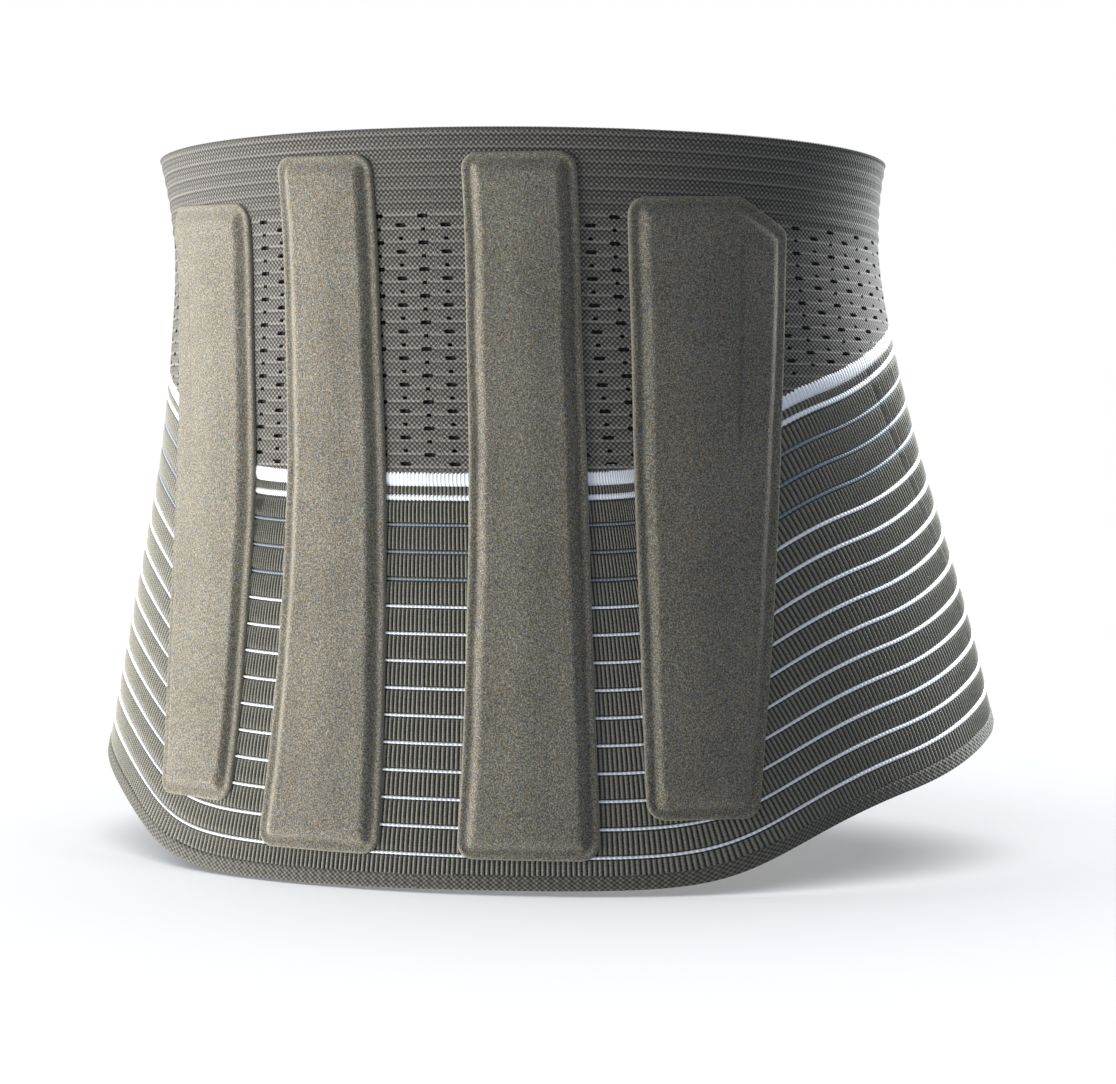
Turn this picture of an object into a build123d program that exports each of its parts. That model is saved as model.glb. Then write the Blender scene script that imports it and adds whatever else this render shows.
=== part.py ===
from build123d import *
from functools import cache
import os

# Lumbar support belt, closed round the torso as it is worn.
# Millimetres. +Z is up, +Y is the way the wearer faces, +X is the wearer's right.
# The origin is on the torso's axis, in the plane of the belt's lowest edge.
# The belt is one elastic knit band. It is cut here at the four lines where it folds open, into a
# back, two flanks and two fronts. Right and left are the wearer's.

os.makedirs("parts", exist_ok=True)

# ---------------------------------------------------------------- driving dimensions
# The torso that the knit's outer face follows, level by level:
# height, half width, y of the back surface, depth of the front half.
TORSO = (
    (-5, 188.1, -113.4, 87.9),
    (18, 182.9, -108.7, 88.2),
    (40, 177.9, -104.8, 88.6),
    (67, 171.8, -101.4, 89.5),
    (95, 164.9, -98.9, 91.0),
    (122, 157.5, -97.1, 92.8),
    (150, 150.1, -96.4, 94.7),
    (175, 144.6, -97.3, 96.0),
    (200, 140.2, -98.6, 96.9),
    (220, 137.7, -99.4, 97.4),
    (240, 137.6, -101.0, 98.4),
    (255, 139.7, -103.2, 99.8),
    (270, 143.0, -106.0, 101.6),
    (282, 145.7, -108.4, 103.0),
)
BACK_DEPTH_RATIO = 0.737     # depth of the back half over the half width
REACH = 300                  # longer than any distance across the belt

# Edges seen from the side, as (y, z). The lower edge is level across the back and rises forward.
LOWER_EDGE = ((-97, 0), (-70, 13.3), (-40, 27.7), (26, 41.8), (130, 49.6))
TOP_EDGE = ((130, 246.6), (-106, 270), (-150, 270))

# Thicknesses, and the clearance between layers that are bonded or lie on each other.
KNIT = 1.8
LAYER_GAP = 0.1
BACKING = 0.7
BACKING_MARGIN = 3           # how far a backing strip stays inside its cover's outline
FLANGE = 1.1                 # flat bonded margin of a stay cover
COVER_SKIN = 1.15            # laminate over the stay
CORNER = 6                   # corner radius of a cover's outline
STAY = 1.0
TIP_WALL = 0.3
CHANNEL_SPARE = 0.15         # height left over the tips in a channel
CHANNEL_SIDE = 3             # width left each side of a stay
CHANNEL_END = 4              # length left past each end of a stay
TIP_HOLD = 6                 # how far a tip covers the stay
TIP_NOSE = 2.5               # how far a tip stands past the stay's end
OUTER_TURN = 40              # degrees that the outer covers are turned round the body

# Fold lines, as the two ends of each hinge axis on the right side; the left ones mirror them.
FLANK_HINGE = ((167.0, -23.5, 33.0), (131.6, -39.8, 263.6))
FLANK_OUTWARD = (0.876, -0.483, 0)
FRONT_HINGE = ((156.4, 71.0, 46.6), (124.0, 49.6, 255.0))
FRONT_OUTWARD = (0.759, 0.651, 0)
HINGE_GAP = 0.4

# Closing tongues. The right one closes over the left one, so the right side stands further out
# in front. Each tongue is a tapered flap from its root seam to its rounded end.
OVERLAP_RISE = 5.2
TONGUE_MID = 150             # height of every tongue's centre line
TONGUE_END_HALF = 60
TONGUE_END_RADIUS = 32
RIGHT_ROOT, RIGHT_END, RIGHT_ROOT_HALF = 75, -45, 82
LEFT_ROOT, LEFT_END, LEFT_ROOT_HALF = -90, 40, 85
LINING = 0.75
VELOUR = 0.8
HOOK = 0.85
BINDING = 0.6
BINDING_OUTSIDE = 1.3        # how far the folded binding stands past the tongue's edge
BINDING_INSIDE = 5.5
SEAM_HALF = 8                # half the width of the tape over a root seam
TAPE = 0.6

# Hook and loop fastener: hooks under the right tongue, pile on the left one.
HOOK_X, HOOK_WIDTH, HOOK_HEIGHT = -4, 56, 92
PILE_X, PILE_WIDTH, PILE_HEIGHT = -10, 70, 104
FASTENER_CORNER = 6

# Finger loops: webbing arches sewn on the tongues.
RIGHT_LOOP_X = -18
LEFT_LOOP_X = -68
LOOP_WIDTH = 25
WEBBING = 1.4
LOOP_HALF_SPAN = 32
LOOP_TAB = 14
LOOP_BULGE = 15
LOOP_LEAN = 3.5              # the belt's front leans back by this much over half a loop's span

# Care label, as (y, z) in side view.
LABEL_CENTRE = (22, 92)
LABEL_WIDTH, LABEL_HEIGHT = 32, 46
LABEL = 0.4


# ---------------------------------------------------------------- shared forms
@cache
def torso(grow, front_rise=0.0):
    """Solid torso, grown all round, with its front centre pushed out by front_rise."""
    with BuildPart(mode=Mode.PRIVATE) as form:
        for height, half_width, back_y, front_depth in TORSO:
            back_depth = BACK_DEPTH_RATIO * half_width
            centre = (0, back_y + back_depth)
            with BuildSketch(Plane.XY.offset(height)):
                with BuildLine():
                    EllipticalCenterArc(centre, half_width + grow, back_depth + grow, 180, arc_size=180)
                    EllipticalCenterArc(centre, half_width + grow, front_depth + front_rise + grow, arc_size=180)
                make_face()
        loft()
    return form.part


def keep_layer(inner, outer, front_rise=0.0):
    """Trim the part being built to one layer, by its distances from the knit's outer face."""
    add(torso(outer, front_rise), mode=Mode.INTERSECT)
    add(torso(inner, front_rise), mode=Mode.SUBTRACT)


@cache
def side_profile():
    """Everything between the belt's lower and upper edges."""
    with BuildPart(mode=Mode.PRIVATE) as prism:
        with BuildSketch(Plane.YZ):
            with BuildLine():
                Polyline(*TOP_EDGE, (-150, 0), LOWER_EDGE[0])
                Spline(*LOWER_EDGE, tangents=((1, 0), (1, 0.05)))
                Line(LOWER_EDGE[-1], TOP_EDGE[0])
            make_face()
        extrude(amount=REACH, both=True)
    return prism.part


def fold_plane(hinge, outward, side, shift=0.0):
    """Plane across the belt through a fold line, facing forward; side is 1 for right, -1 for left."""
    low, high = (Vector(side * x, y, z) for x, y, z in hinge)
    normal = (high - low).cross(Vector(side * outward[0], outward[1], 0)) * side
    return Plane(origin=low, x_dir=high - low, z_dir=normal).offset(shift)


def patch(outline, inner, outer, front_rise=0.0, reach=REACH):
    """The piece of one layer that lies under an outline; a negative reach takes the belt's front."""
    with BuildPart(mode=Mode.PRIVATE) as piece:
        extrude(outline, amount=reach)
        keep_layer(inner, outer, front_rise)
    return piece.part


def strip(plane, bottom, top, width):
    """Leaning strip between two levels, given the middle of its ends as (across, up)."""
    half = width / 2
    with BuildSketch(plane, mode=Mode.PRIVATE) as outline:
        with BuildLine():
            Polyline((bottom[0] - half, bottom[1]), (bottom[0] + half, bottom[1]),
                     (top[0] + half, top[1]), (top[0] - half, top[1]), close=True)
        make_face()
    return outline.sketch


def finish(part, label):
    """Label a finished piece and write its file."""
    part.part.label = label
    export_step(part.part, f"parts/{label}.step")


# ---------------------------------------------------------------- knit band
with BuildPart() as knit_back:
    add(side_profile())
    keep_layer(-KNIT, 0)
    for side in (1, -1):
        split(bisect_by=fold_plane(FLANK_HINGE, FLANK_OUTWARD, side, -HINGE_GAP / 2), keep=Keep.BOTTOM)
finish(knit_back, "knit_back")

for name, side, front_rise in (("right", 1, OVERLAP_RISE), ("left", -1, 0)):
    with BuildPart() as knit_flank:
        add(side_profile())
        keep_layer(-KNIT, 0, front_rise)
        split(bisect_by=fold_plane(FLANK_HINGE, FLANK_OUTWARD, side, HINGE_GAP / 2), keep=Keep.TOP)
        split(bisect_by=fold_plane(FRONT_HINGE, FRONT_OUTWARD, side, -HINGE_GAP / 2), keep=Keep.BOTTOM)
    finish(knit_flank, f"knit_{name}_flank")

for name, side, front_rise, root, root_half in (
    ("right", 1, OVERLAP_RISE, RIGHT_ROOT, RIGHT_ROOT_HALF),
    ("left", -1, 0, LEFT_ROOT, LEFT_ROOT_HALF),
):
    low, high = TONGUE_MID - root_half, TONGUE_MID + root_half
    with BuildPart() as knit_front:
        add(side_profile())
        keep_layer(-KNIT, 0, front_rise)
        split(bisect_by=fold_plane(FRONT_HINGE, FRONT_OUTWARD, side, HINGE_GAP / 2), keep=Keep.TOP)
        # The band narrows from the fold to the tongue's root.
        with BuildSketch(Plane.XZ) as taper:
            with BuildLine():
                Spline((side * 180, 44), (root, low), tangents=((-side, 0.02), (-side, 0.35)))
                Line((root, low), (root, high))
                Spline((root, high), (side * 123, 255.5), (side * 180, 262),
                       tangents=((side, 0.5), (side, 0.1)))
                Line((side * 180, 262), (side * 180, 44))
            make_face()
        extrude(amount=-REACH, mode=Mode.INTERSECT)
    finish(knit_front, f"knit_{name}_front")


# ---------------------------------------------------------------- back stays and their covers
# A cover is a laminate pad bonded to the outside of the knit: a flat margin round a raised
# channel that holds one stay. Its outline is drawn on a plane that faces its part of the back.
CENTRE_PLANE = Plane.XZ
OUTER_PLANE = Plane.XZ.rotated((0, 0, OUTER_TURN))


def cover_outline(plane, inner_edge, outer_edge, shrink=0):
    """Outline between two long edges, each drawn from the bottom up, with rounded corners."""
    middle = inner_edge[1][1]

    def moved(edge, inward):
        return [(x + inward, y + shrink if y < middle else y - shrink if y > middle else y) for x, y in edge]

    inner_edge, outer_edge = moved(inner_edge, shrink), moved(outer_edge, -shrink)
    outer_top_down = list(reversed(outer_edge[2:]))
    with BuildSketch(plane, mode=Mode.PRIVATE) as outline:
        with BuildLine():
            Spline(*inner_edge[:3])
            Polyline(inner_edge[2], *outer_top_down)
            Spline(*outer_edge[:3])
            Line(outer_edge[0], inner_edge[0])
        make_face()
        fillet(outline.vertices(), CORNER)
    return outline.sketch


# name: plane, inner edge, outer edge (bottom, middle, top, and a cut corner's end), stay width,
# middle of the stay's bottom and top ends
STAY_SETS = {
    "centre": (
        CENTRE_PLANE,
        ((15, 12), (16, 150), (17, 261)),
        ((66, 12), (57.7, 150), (57, 261)),
        20, (38.5, 23), (37.5, 251),
    ),
    "outer": (
        OUTER_PLANE,
        ((2, 26), (3.1, 150), (0.3, 245)),
        ((40.6, 26), (56, 150), (60.4, 232.6), (41, 245)),
        26, (22, 40), (26.5, 229),
    ),
}
TIP_INNER = 2 * LAYER_GAP
STAY_INNER = TIP_INNER + TIP_WALL
TIP_OUTER = STAY_INNER + STAY + TIP_WALL
CHANNEL_ROOF = TIP_OUTER + CHANNEL_SPARE


def along(start, end, distance):
    """Point a distance past the end of the line from start to end."""
    direction = (Vector(*end) - Vector(*start)).normalized()
    point = Vector(*end) + direction * distance
    return point.X, point.Y


for position, (plane, inner_edge, outer_edge, stay_width, bottom, top) in STAY_SETS.items():
    outline = cover_outline(plane, inner_edge, outer_edge)
    backing_outline = cover_outline(plane, inner_edge, outer_edge, BACKING_MARGIN)
    stay_outline = strip(plane, bottom, top, stay_width)
    channel_ends = along(top, bottom, CHANNEL_END), along(bottom, top, CHANNEL_END)
    cavity_outline = strip(plane, *channel_ends, stay_width + CHANNEL_SIDE)
    ridge_ends = along(top, bottom, 2 * CHANNEL_END), along(bottom, top, 2 * CHANNEL_END)
    ridge_outline = strip(plane, *ridge_ends, stay_width + 2 * CHANNEL_SIDE)

    for name, side in (("right", 1), ("left", -1)):
        with BuildPart() as cover:
            add(patch(outline, LAYER_GAP, LAYER_GAP + FLANGE))
            add(patch(ridge_outline, LAYER_GAP, CHANNEL_ROOF + COVER_SKIN))
            add(patch(cavity_outline, 0, CHANNEL_ROOF), mode=Mode.SUBTRACT)
            if side < 0:
                mirror(about=Plane.YZ, mode=Mode.REPLACE)
        finish(cover, f"{name}_{position}_stay_cover")

        with BuildPart() as backing:
            add(patch(backing_outline, -KNIT - LAYER_GAP - BACKING, -KNIT - LAYER_GAP))
            if side < 0:
                mirror(about=Plane.YZ, mode=Mode.REPLACE)
        finish(backing, f"{name}_{position}_backing")

        with BuildPart() as stay:
            add(patch(stay_outline, STAY_INNER, STAY_INNER + STAY))
            if side < 0:
                mirror(about=Plane.YZ, mode=Mode.REPLACE)
        finish(stay, f"{name}_{position}_stay")

        for level, start, end in (("top", bottom, top), ("bottom", top, bottom)):
            tip_ends = along(start, end, -TIP_HOLD), along(start, end, TIP_NOSE)
            tip_outline = strip(plane, *tip_ends, stay_width + 2 * TIP_WALL)
            with BuildPart() as tip:
                add(patch(tip_outline, TIP_INNER, TIP_OUTER))
                add(patch(stay_outline, STAY_INNER, STAY_INNER + STAY), mode=Mode.SUBTRACT)
                if side < 0:
                    mirror(about=Plane.YZ, mode=Mode.REPLACE)
            finish(tip, f"{name}_{position}_stay_{level}_tip")


# ---------------------------------------------------------------- closing tongues
def tongue_outline(root, end, root_half, grow=0, root_gap=0):
    """Tapered flap in front view, grown all round, with a rounded end and a straight root edge."""
    side = 1 if root > end else -1
    near = root - side * root_gap
    far = end - side * grow
    near_half = root_half + grow
    far_half = TONGUE_END_HALF + grow
    with BuildSketch(Plane.XZ, mode=Mode.PRIVATE) as outline:
        with BuildLine():
            Polyline((near, TONGUE_MID - near_half), (far, TONGUE_MID - far_half),
                     (far, TONGUE_MID + far_half), (near, TONGUE_MID + near_half), close=True)
        make_face()
        far_corners = outline.vertices().sort_by(Axis.X, reverse=side < 0)[:2]
        fillet(far_corners, TONGUE_END_RADIUS + grow)
    return outline.sketch


def webbing_loop(x, front_rise):
    """Arch of webbing standing off a tongue at x, with a sewn tab at each end."""
    middle = patch(strip(Plane.XZ, (x, TONGUE_MID), (x, TONGUE_MID + 1), 1), -KNIT, 0, front_rise, -REACH)
    face_y = middle.bounding_box().max.Y
    with BuildPart(mode=Mode.PRIVATE) as loop:
        with BuildSketch(Plane.YZ.offset(x)):
            with BuildLine():
                inner = ThreePointArc((face_y + LOOP_LEAN, TONGUE_MID - LOOP_HALF_SPAN),
                                      (face_y + LOOP_BULGE, TONGUE_MID),
                                      (face_y - LOOP_LEAN, TONGUE_MID + LOOP_HALF_SPAN))
                outer = ThreePointArc((face_y + LOOP_LEAN, TONGUE_MID - LOOP_HALF_SPAN - WEBBING),
                                      (face_y + LOOP_BULGE + WEBBING, TONGUE_MID),
                                      (face_y - LOOP_LEAN, TONGUE_MID + LOOP_HALF_SPAN + WEBBING))
                Line(inner @ 0, outer @ 0)
                Line(inner @ 1, outer @ 1)
            make_face()
        extrude(amount=LOOP_WIDTH / 2, both=True)
        add(torso(LAYER_GAP, front_rise), mode=Mode.SUBTRACT)
        for end in (-1, 1):
            tab_start = TONGUE_MID + end * (LOOP_HALF_SPAN - 1)
            tab = strip(Plane.XZ, (x, tab_start), (x, tab_start + end * LOOP_TAB), LOOP_WIDTH)
            add(patch(tab, LAYER_GAP, LAYER_GAP + WEBBING, front_rise, -REACH))
    return loop.part


for name, side, front_rise, root, end, root_half, loop_x in (
    ("right", 1, OVERLAP_RISE, RIGHT_ROOT, RIGHT_END, RIGHT_ROOT_HALF, RIGHT_LOOP_X),
    ("left", -1, 0, LEFT_ROOT, LEFT_END, LEFT_ROOT_HALF, LEFT_LOOP_X),
):
    flap = tongue_outline(root, end, root_half)
    lining_outer = -KNIT - LAYER_GAP
    lining_inner = lining_outer - LINING
    tape_edge = root - side * (SEAM_HALF + LAYER_GAP)

    with BuildPart() as panel:
        add(patch(flap, -KNIT, 0, front_rise, -REACH))
    finish(panel, f"{name}_tongue_panel")

    with BuildPart() as lining:
        add(patch(flap, lining_inner, lining_outer, front_rise, -REACH))
    finish(lining, f"{name}_tongue_lining")

    # Folded tape round the flap's edge, from one end of the root seam to the other.
    with BuildPart() as binding:
        grown = tongue_outline(tape_edge, end, root_half, BINDING_OUTSIDE)
        shrunk = tongue_outline(root, end, root_half, -BINDING_INSIDE)
        layers = lining_inner - LAYER_GAP, LAYER_GAP
        add(patch(grown, layers[0] - BINDING, layers[1] + BINDING, front_rise, -REACH))
        add(patch(shrunk, layers[0] - 2 * BINDING, layers[1] + 2 * BINDING, front_rise, -REACH),
            mode=Mode.SUBTRACT)
        add(patch(flap, *layers, front_rise, -REACH), mode=Mode.SUBTRACT)
    finish(binding, f"{name}_tongue_edge_binding")

    with BuildPart() as tape:
        tape_outline = strip(Plane.XZ, (root, TONGUE_MID - root_half), (root, TONGUE_MID + root_half),
                             2 * SEAM_HALF)
        add(patch(tape_outline, LAYER_GAP, LAYER_GAP + TAPE, front_rise, -REACH))
    finish(tape, f"{name}_root_seam_tape")

    with BuildPart() as loop:
        add(webbing_loop(loop_x, front_rise))
    finish(loop, f"{name}_finger_loop")


def rounded_patch(centre_x, width, height, inner, outer, front_rise):
    """Rounded rectangle of one layer on a tongue."""
    with BuildSketch(Plane.XZ, mode=Mode.PRIVATE) as outline:
        with Locations((centre_x, TONGUE_MID)):
            RectangleRounded(width, height, FASTENER_CORNER)
    return patch(outline.sketch, inner, outer, front_rise, -REACH)


with BuildPart() as hook_patch:
    hook_outer = -KNIT - 2 * LAYER_GAP - LINING
    add(rounded_patch(HOOK_X, HOOK_WIDTH, HOOK_HEIGHT, hook_outer - HOOK, hook_outer, OVERLAP_RISE))
finish(hook_patch, "hook_patch")

with BuildPart() as loop_pile_panel:
    add(rounded_patch(PILE_X, PILE_WIDTH, PILE_HEIGHT, LAYER_GAP, LAYER_GAP + VELOUR, 0))
finish(loop_pile_panel, "loop_pile_panel")


# ---------------------------------------------------------------- care label
# A blank woven label, sewn by its edges inside the left flank.
with BuildPart() as care_label:
    with BuildSketch(Plane.YZ):
        with Locations(LABEL_CENTRE):
            Rectangle(LABEL_WIDTH, LABEL_HEIGHT)
    extrude(amount=-REACH)
    keep_layer(-KNIT - LAYER_GAP - LABEL, -KNIT - LAYER_GAP)
finish(care_label, "care_label")
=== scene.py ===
import math

import bmesh
import bpy
import numpy as np
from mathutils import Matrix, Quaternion, Vector


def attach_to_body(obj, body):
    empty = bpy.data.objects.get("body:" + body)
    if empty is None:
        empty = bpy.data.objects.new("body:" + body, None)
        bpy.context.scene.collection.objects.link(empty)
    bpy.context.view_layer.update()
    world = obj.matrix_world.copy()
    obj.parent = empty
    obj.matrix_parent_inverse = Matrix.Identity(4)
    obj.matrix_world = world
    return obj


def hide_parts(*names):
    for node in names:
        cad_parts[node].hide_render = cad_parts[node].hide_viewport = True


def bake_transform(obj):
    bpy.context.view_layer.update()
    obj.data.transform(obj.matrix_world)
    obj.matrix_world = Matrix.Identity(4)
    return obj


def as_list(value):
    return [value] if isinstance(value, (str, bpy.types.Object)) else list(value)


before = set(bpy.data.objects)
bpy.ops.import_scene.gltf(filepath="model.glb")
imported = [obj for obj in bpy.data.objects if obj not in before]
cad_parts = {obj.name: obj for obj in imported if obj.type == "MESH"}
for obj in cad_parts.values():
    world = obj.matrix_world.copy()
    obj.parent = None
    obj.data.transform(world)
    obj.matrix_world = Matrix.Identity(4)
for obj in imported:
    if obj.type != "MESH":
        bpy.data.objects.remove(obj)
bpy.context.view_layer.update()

# Lumbar support belt: the visible fabric, pads, tapes and fasteners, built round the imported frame.
# Lengths are in millimetres until a mesh is made. +Z is up, +Y is forward, +X is the wearer's right.
# A place on the belt is an angle round the torso (0 at the spine, positive to the right) and a height.

MM = 0.001
WHOLE_TURN = 2 * math.pi
RIGHT, LEFT = 1, -1
NAMES = {RIGHT: "right", LEFT: "left"}

# ---------------------------------------------------------------- dimensions
# Torso levels: height, half width, y of the back surface, depth of the front half.
LEVELS = np.array((
    (-5, 188.1, -113.4, 87.9),
    (18, 182.9, -108.7, 88.2),
    (40, 177.9, -104.8, 88.6),
    (67, 171.8, -101.4, 89.5),
    (95, 164.9, -98.9, 91.0),
    (122, 157.5, -97.1, 92.8),
    (150, 150.1, -96.4, 94.7),
    (175, 144.6, -97.3, 96.0),
    (200, 140.2, -98.6, 96.9),
    (220, 137.7, -99.4, 97.4),
    (240, 137.6, -101.0, 98.4),
    (255, 139.7, -103.2, 99.8),
    (270, 143.0, -106.0, 101.6),
    (282, 145.7, -108.4, 103.0),
))
BACK_DEPTH_RATIO = 0.737
OVERLAP_RISE = 5.2           # how much further out the right side stands in front

TOP = 270.0                  # top edge at the spine
FRONT_DROP = 20.4            # how much lower the top edge is at the front
# The knitted courses climb from the back to the front in two stages; angles in radians.
FIRST_RISE, RISE_START, RISE_SOFT, RISE_LENGTH = 39.9, 0.669, 0.0765, 0.279
SECOND_RISE, SECOND_START, SECOND_END = 11.1, 1.112, 1.798
LOW_EDGE_SHARE = 0.95        # the lower edge climbs by this share of it
LOW_EDGE, LOW_EDGE_TILT = 1.0, 0.8   # lower edge at the spine, and how much lower it hangs on the left

TONGUE_MID = 150.0
ROOTS = {RIGHT: 75.0, LEFT: 90.0}    # how far from the middle the knit ends in front
ROOT_HALF = {RIGHT: 82.0, LEFT: 85.0}
# In front the edges narrow to the roots: where that starts, its height, and the slopes at root and start.
UPPER_TAPER = 123, 255.5, (0.55, 0.3)
LOWER_TAPER = 180, 44, (-0.35, -0.02)
# The knit's pieces, in degrees round the torso: one on the back, and one across each fold.
SEGMENTS = (("back", 0, 55), ("side", 55, 92), ("front", 92, 172))
LAST_ANGLE = math.radians(178)

HEM = 5.3
FIRST_INLAY = 12.9
INLAY_PITCH = 9.7
INLAYS = 13
FAINT_INLAYS = 3             # the topmost ones, half hidden in the knit
WHITE_BANDS = ((138.1, 140.1), (143.1, 148.9))
RIB_PITCH = 1.78
WAISTBAND = 240.7
SHEETS_MEET = 146.4          # where the ribbed and the perforated sheets meet, under the wide band

HOLE_PITCH = 8.8
ROW_PITCH = 9.43 / 2         # rows of wide and of narrow holes in turn
HOLE_STAGGER = 3.25
HOLE_HEIGHT = 1.45
SPINE_COLUMN = 1.2           # place of the hole column nearest the spine
FIRST_HOLES = 239.2
# Columns of points round a hole's middle, and the first and last of them that each kind of hole reaches.
HOLE_COLUMNS = np.array((-2.1, -1.5, -0.95, 0.95, 1.5, 2.1))
WIDE_HOLE, NARROW_HOLE = (1, 6), (3, 4)
MESH_REF = 200.0             # height at which the hole pitch is measured round the belt
DROP_START, DROP_WHOLE = 147, 240    # between these heights the rows come to follow the top edge's drop
BAR_PITCH = 1.18             # rows of points on the waistband
KNIT_GAP = 0.5               # from the perforated sheet to the edges, under the hem and the roll
UNBROKEN = 3.4               # height without holes above the wide band

KNIT = 1.7
MESH_KNIT = 1.2              # the perforated outer face
RIB_FLOOR, RIB_CROWN = -0.65, 0.2


# ---------------------------------------------------------------- torso surface
def stack(*parts):
    """Coordinates that broadcast together, as one array of points."""
    return np.stack(np.broadcast_arrays(*parts), -1)


def running(steps):
    """Running total of lengths, from 0."""
    return np.concatenate(([0], np.cumsum(steps)))


def run_along(path):
    return running(np.linalg.norm(np.diff(path, axis=0), axis=1))


def unit(vectors):
    return vectors / np.linalg.norm(vectors, axis=-1, keepdims=True)


def smoothstep(x):
    x = np.clip(x, 0, 1)
    return x * x * (3 - 2 * x)


def rounded(x):
    """Quarter round from 0 up to 1."""
    return np.sqrt(np.clip(1 - (1 - np.clip(x, 0, 1)) ** 2, 0, 1))


def bell(x, width):
    return np.exp(-((x / width) ** 2))


def natural_spline(xs, ys):
    """Cubic through the points, as a function that takes arrays."""
    n, h = len(xs), np.diff(xs)
    matrix, right = np.eye(n), np.zeros(n)
    for i in range(1, n - 1):
        matrix[i, i - 1:i + 2] = h[i - 1], 2 * (h[i - 1] + h[i]), h[i]
        right[i] = 6 * ((ys[i + 1] - ys[i]) / h[i] - (ys[i] - ys[i - 1]) / h[i - 1])
    bend = np.linalg.solve(matrix, right)

    def value(x):
        i = np.clip(np.searchsorted(xs, x) - 1, 0, n - 2)
        left, width = x - xs[i], h[i]
        slope = (ys[i + 1] - ys[i]) / width - width * (2 * bend[i] + bend[i + 1]) / 6
        return ys[i] + left * (slope + left * (bend[i] / 2 + left * (bend[i + 1] - bend[i]) / (6 * width)))
    return value


half_width, back_y, front_depth = (natural_spline(LEVELS[:, 0], LEVELS[:, k]) for k in (1, 2, 3))


def surface(t, z, out):
    """Points of the belt's surface at angle t and height z, moved outward."""
    a = half_width(z)
    back = BACK_DEPTH_RATIO * a
    front = front_depth(z) + np.where(t > 0, OVERLAP_RISE, 0)
    depth = np.where(np.cos(t) > 0, back, front) + out
    return stack((a + out) * np.sin(t), back_y(z) + back - depth * np.cos(t), z)


def front_surface(x, z, out, lift):
    """Points of the belt's front under (x, z) in front view; lift is the overlap's rise."""
    a = half_width(z)
    depth = front_depth(z) + lift + out
    y = back_y(z) + BACK_DEPTH_RATIO * a + depth * np.sqrt(np.clip(1 - (x / (a + out)) ** 2, 0, 1))
    return stack(x, y, z)


def pad_angle(across, z, turn):
    """Angle of the place at a distance across a plane that faces the back, turned by turn."""
    a = half_width(z)
    back = BACK_DEPTH_RATIO * a
    p, q = a * math.cos(turn), back * math.sin(turn)
    return np.arctan2(q, p) + np.arcsin((across - (back_y(z) + back) * math.sin(turn)) / np.hypot(p, q))


def metric(t, z):
    """Length along the belt for each radian of angle."""
    a = half_width(z)
    depth = np.where(np.cos(t) > 0, BACK_DEPTH_RATIO * a, front_depth(z))
    return np.hypot(a * np.cos(t), depth * np.sin(t))


def climbing(t):
    """How far past the start of the climb an angle is, in radians, with a soft start."""
    return RISE_SOFT * np.logaddexp(0, (np.abs(t) - RISE_START) / RISE_SOFT)


def second_climb(t):
    return np.clip((np.abs(t) - SECOND_START) / (SECOND_END - SECOND_START), 0, 1)


def rise(t):
    """How far the courses have climbed at an angle."""
    return FIRST_RISE * (1 - np.exp(-climbing(t) / RISE_LENGTH)) + SECOND_RISE * smoothstep(second_climb(t))


def rise_slope(t):
    start = 1 / (1 + np.exp(-(np.abs(t) - RISE_START) / RISE_SOFT))
    second = second_climb(t)
    return (FIRST_RISE / RISE_LENGTH * np.exp(-climbing(t) / RISE_LENGTH) * start
            + SECOND_RISE * 6 * second * (1 - second) / (SECOND_END - SECOND_START))


def drop(t):
    return FRONT_DROP * (1 - np.cos(t)) / 2


def hermite(x, ends, levels, slopes):
    """Cubic between two points with given slopes."""
    width = ends[1] - ends[0]
    u = np.clip((x - ends[0]) / width, 0, 1)
    return (levels[0] * (2 * u**3 - 3 * u**2 + 1) + slopes[0] * width * (u**3 - 2 * u**2 + u)
            + levels[1] * (3 * u**2 - 2 * u**3) + slopes[1] * width * (u**3 - u**2))


def edge(t, side, upper):
    """Height of the knit's upper or lower edge, which narrows to the tongue's root in front."""
    if upper:
        level = TOP - drop(t)
    else:
        level = LOW_EDGE_SHARE * rise(t) + LOW_EDGE + LOW_EDGE_TILT * np.tanh(side * t / 0.3)
    start, height, slopes = UPPER_TAPER if upper else LOWER_TAPER
    root_height = TONGUE_MID + (1 if upper else -1) * ROOT_HALF[side]
    z = level
    # The distance from the middle depends on the height, so they are found in turn.
    for _ in range(4):
        x = np.abs(half_width(z) * np.sin(t))
        cut = hermite(x, (ROOTS[side], start), (root_height, height), slopes)
        taper = np.where(x > start, level, np.minimum(level, cut)) if upper else np.maximum(level, cut)
        z = np.where(np.cos(t) < 0, taper, level)
    return z


def root_angle(z, side):
    """Angle of the root seam in front."""
    return math.pi - np.arcsin(ROOTS[side] / half_width(z))


def to_root(t, z, side):
    """Angles, held back where they would pass the root seam."""
    return np.minimum(t, root_angle(z, side))


def faces_within(t, z, low, high, side):
    """Which faces of a grid lie at least partly between the edges and before the root seam."""
    off = (z < low) | (z > high) | (t > root_angle(z, side) - 1e-6)
    return ~(off[1:, 1:] & off[1:, :-1] & off[:-1, 1:] & off[:-1, :-1])


def trimmed(t, z, side, low_gap, high_gap):
    """A grid's angles and heights, held inside the edges and the root seam, and which faces are left."""
    t = to_root(t, z, side)
    low, high = edge(t, side, False) + low_gap, edge(t, side, True) - high_gap
    return t, np.clip(z, low, high), faces_within(t, z, low, high, side)


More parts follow.
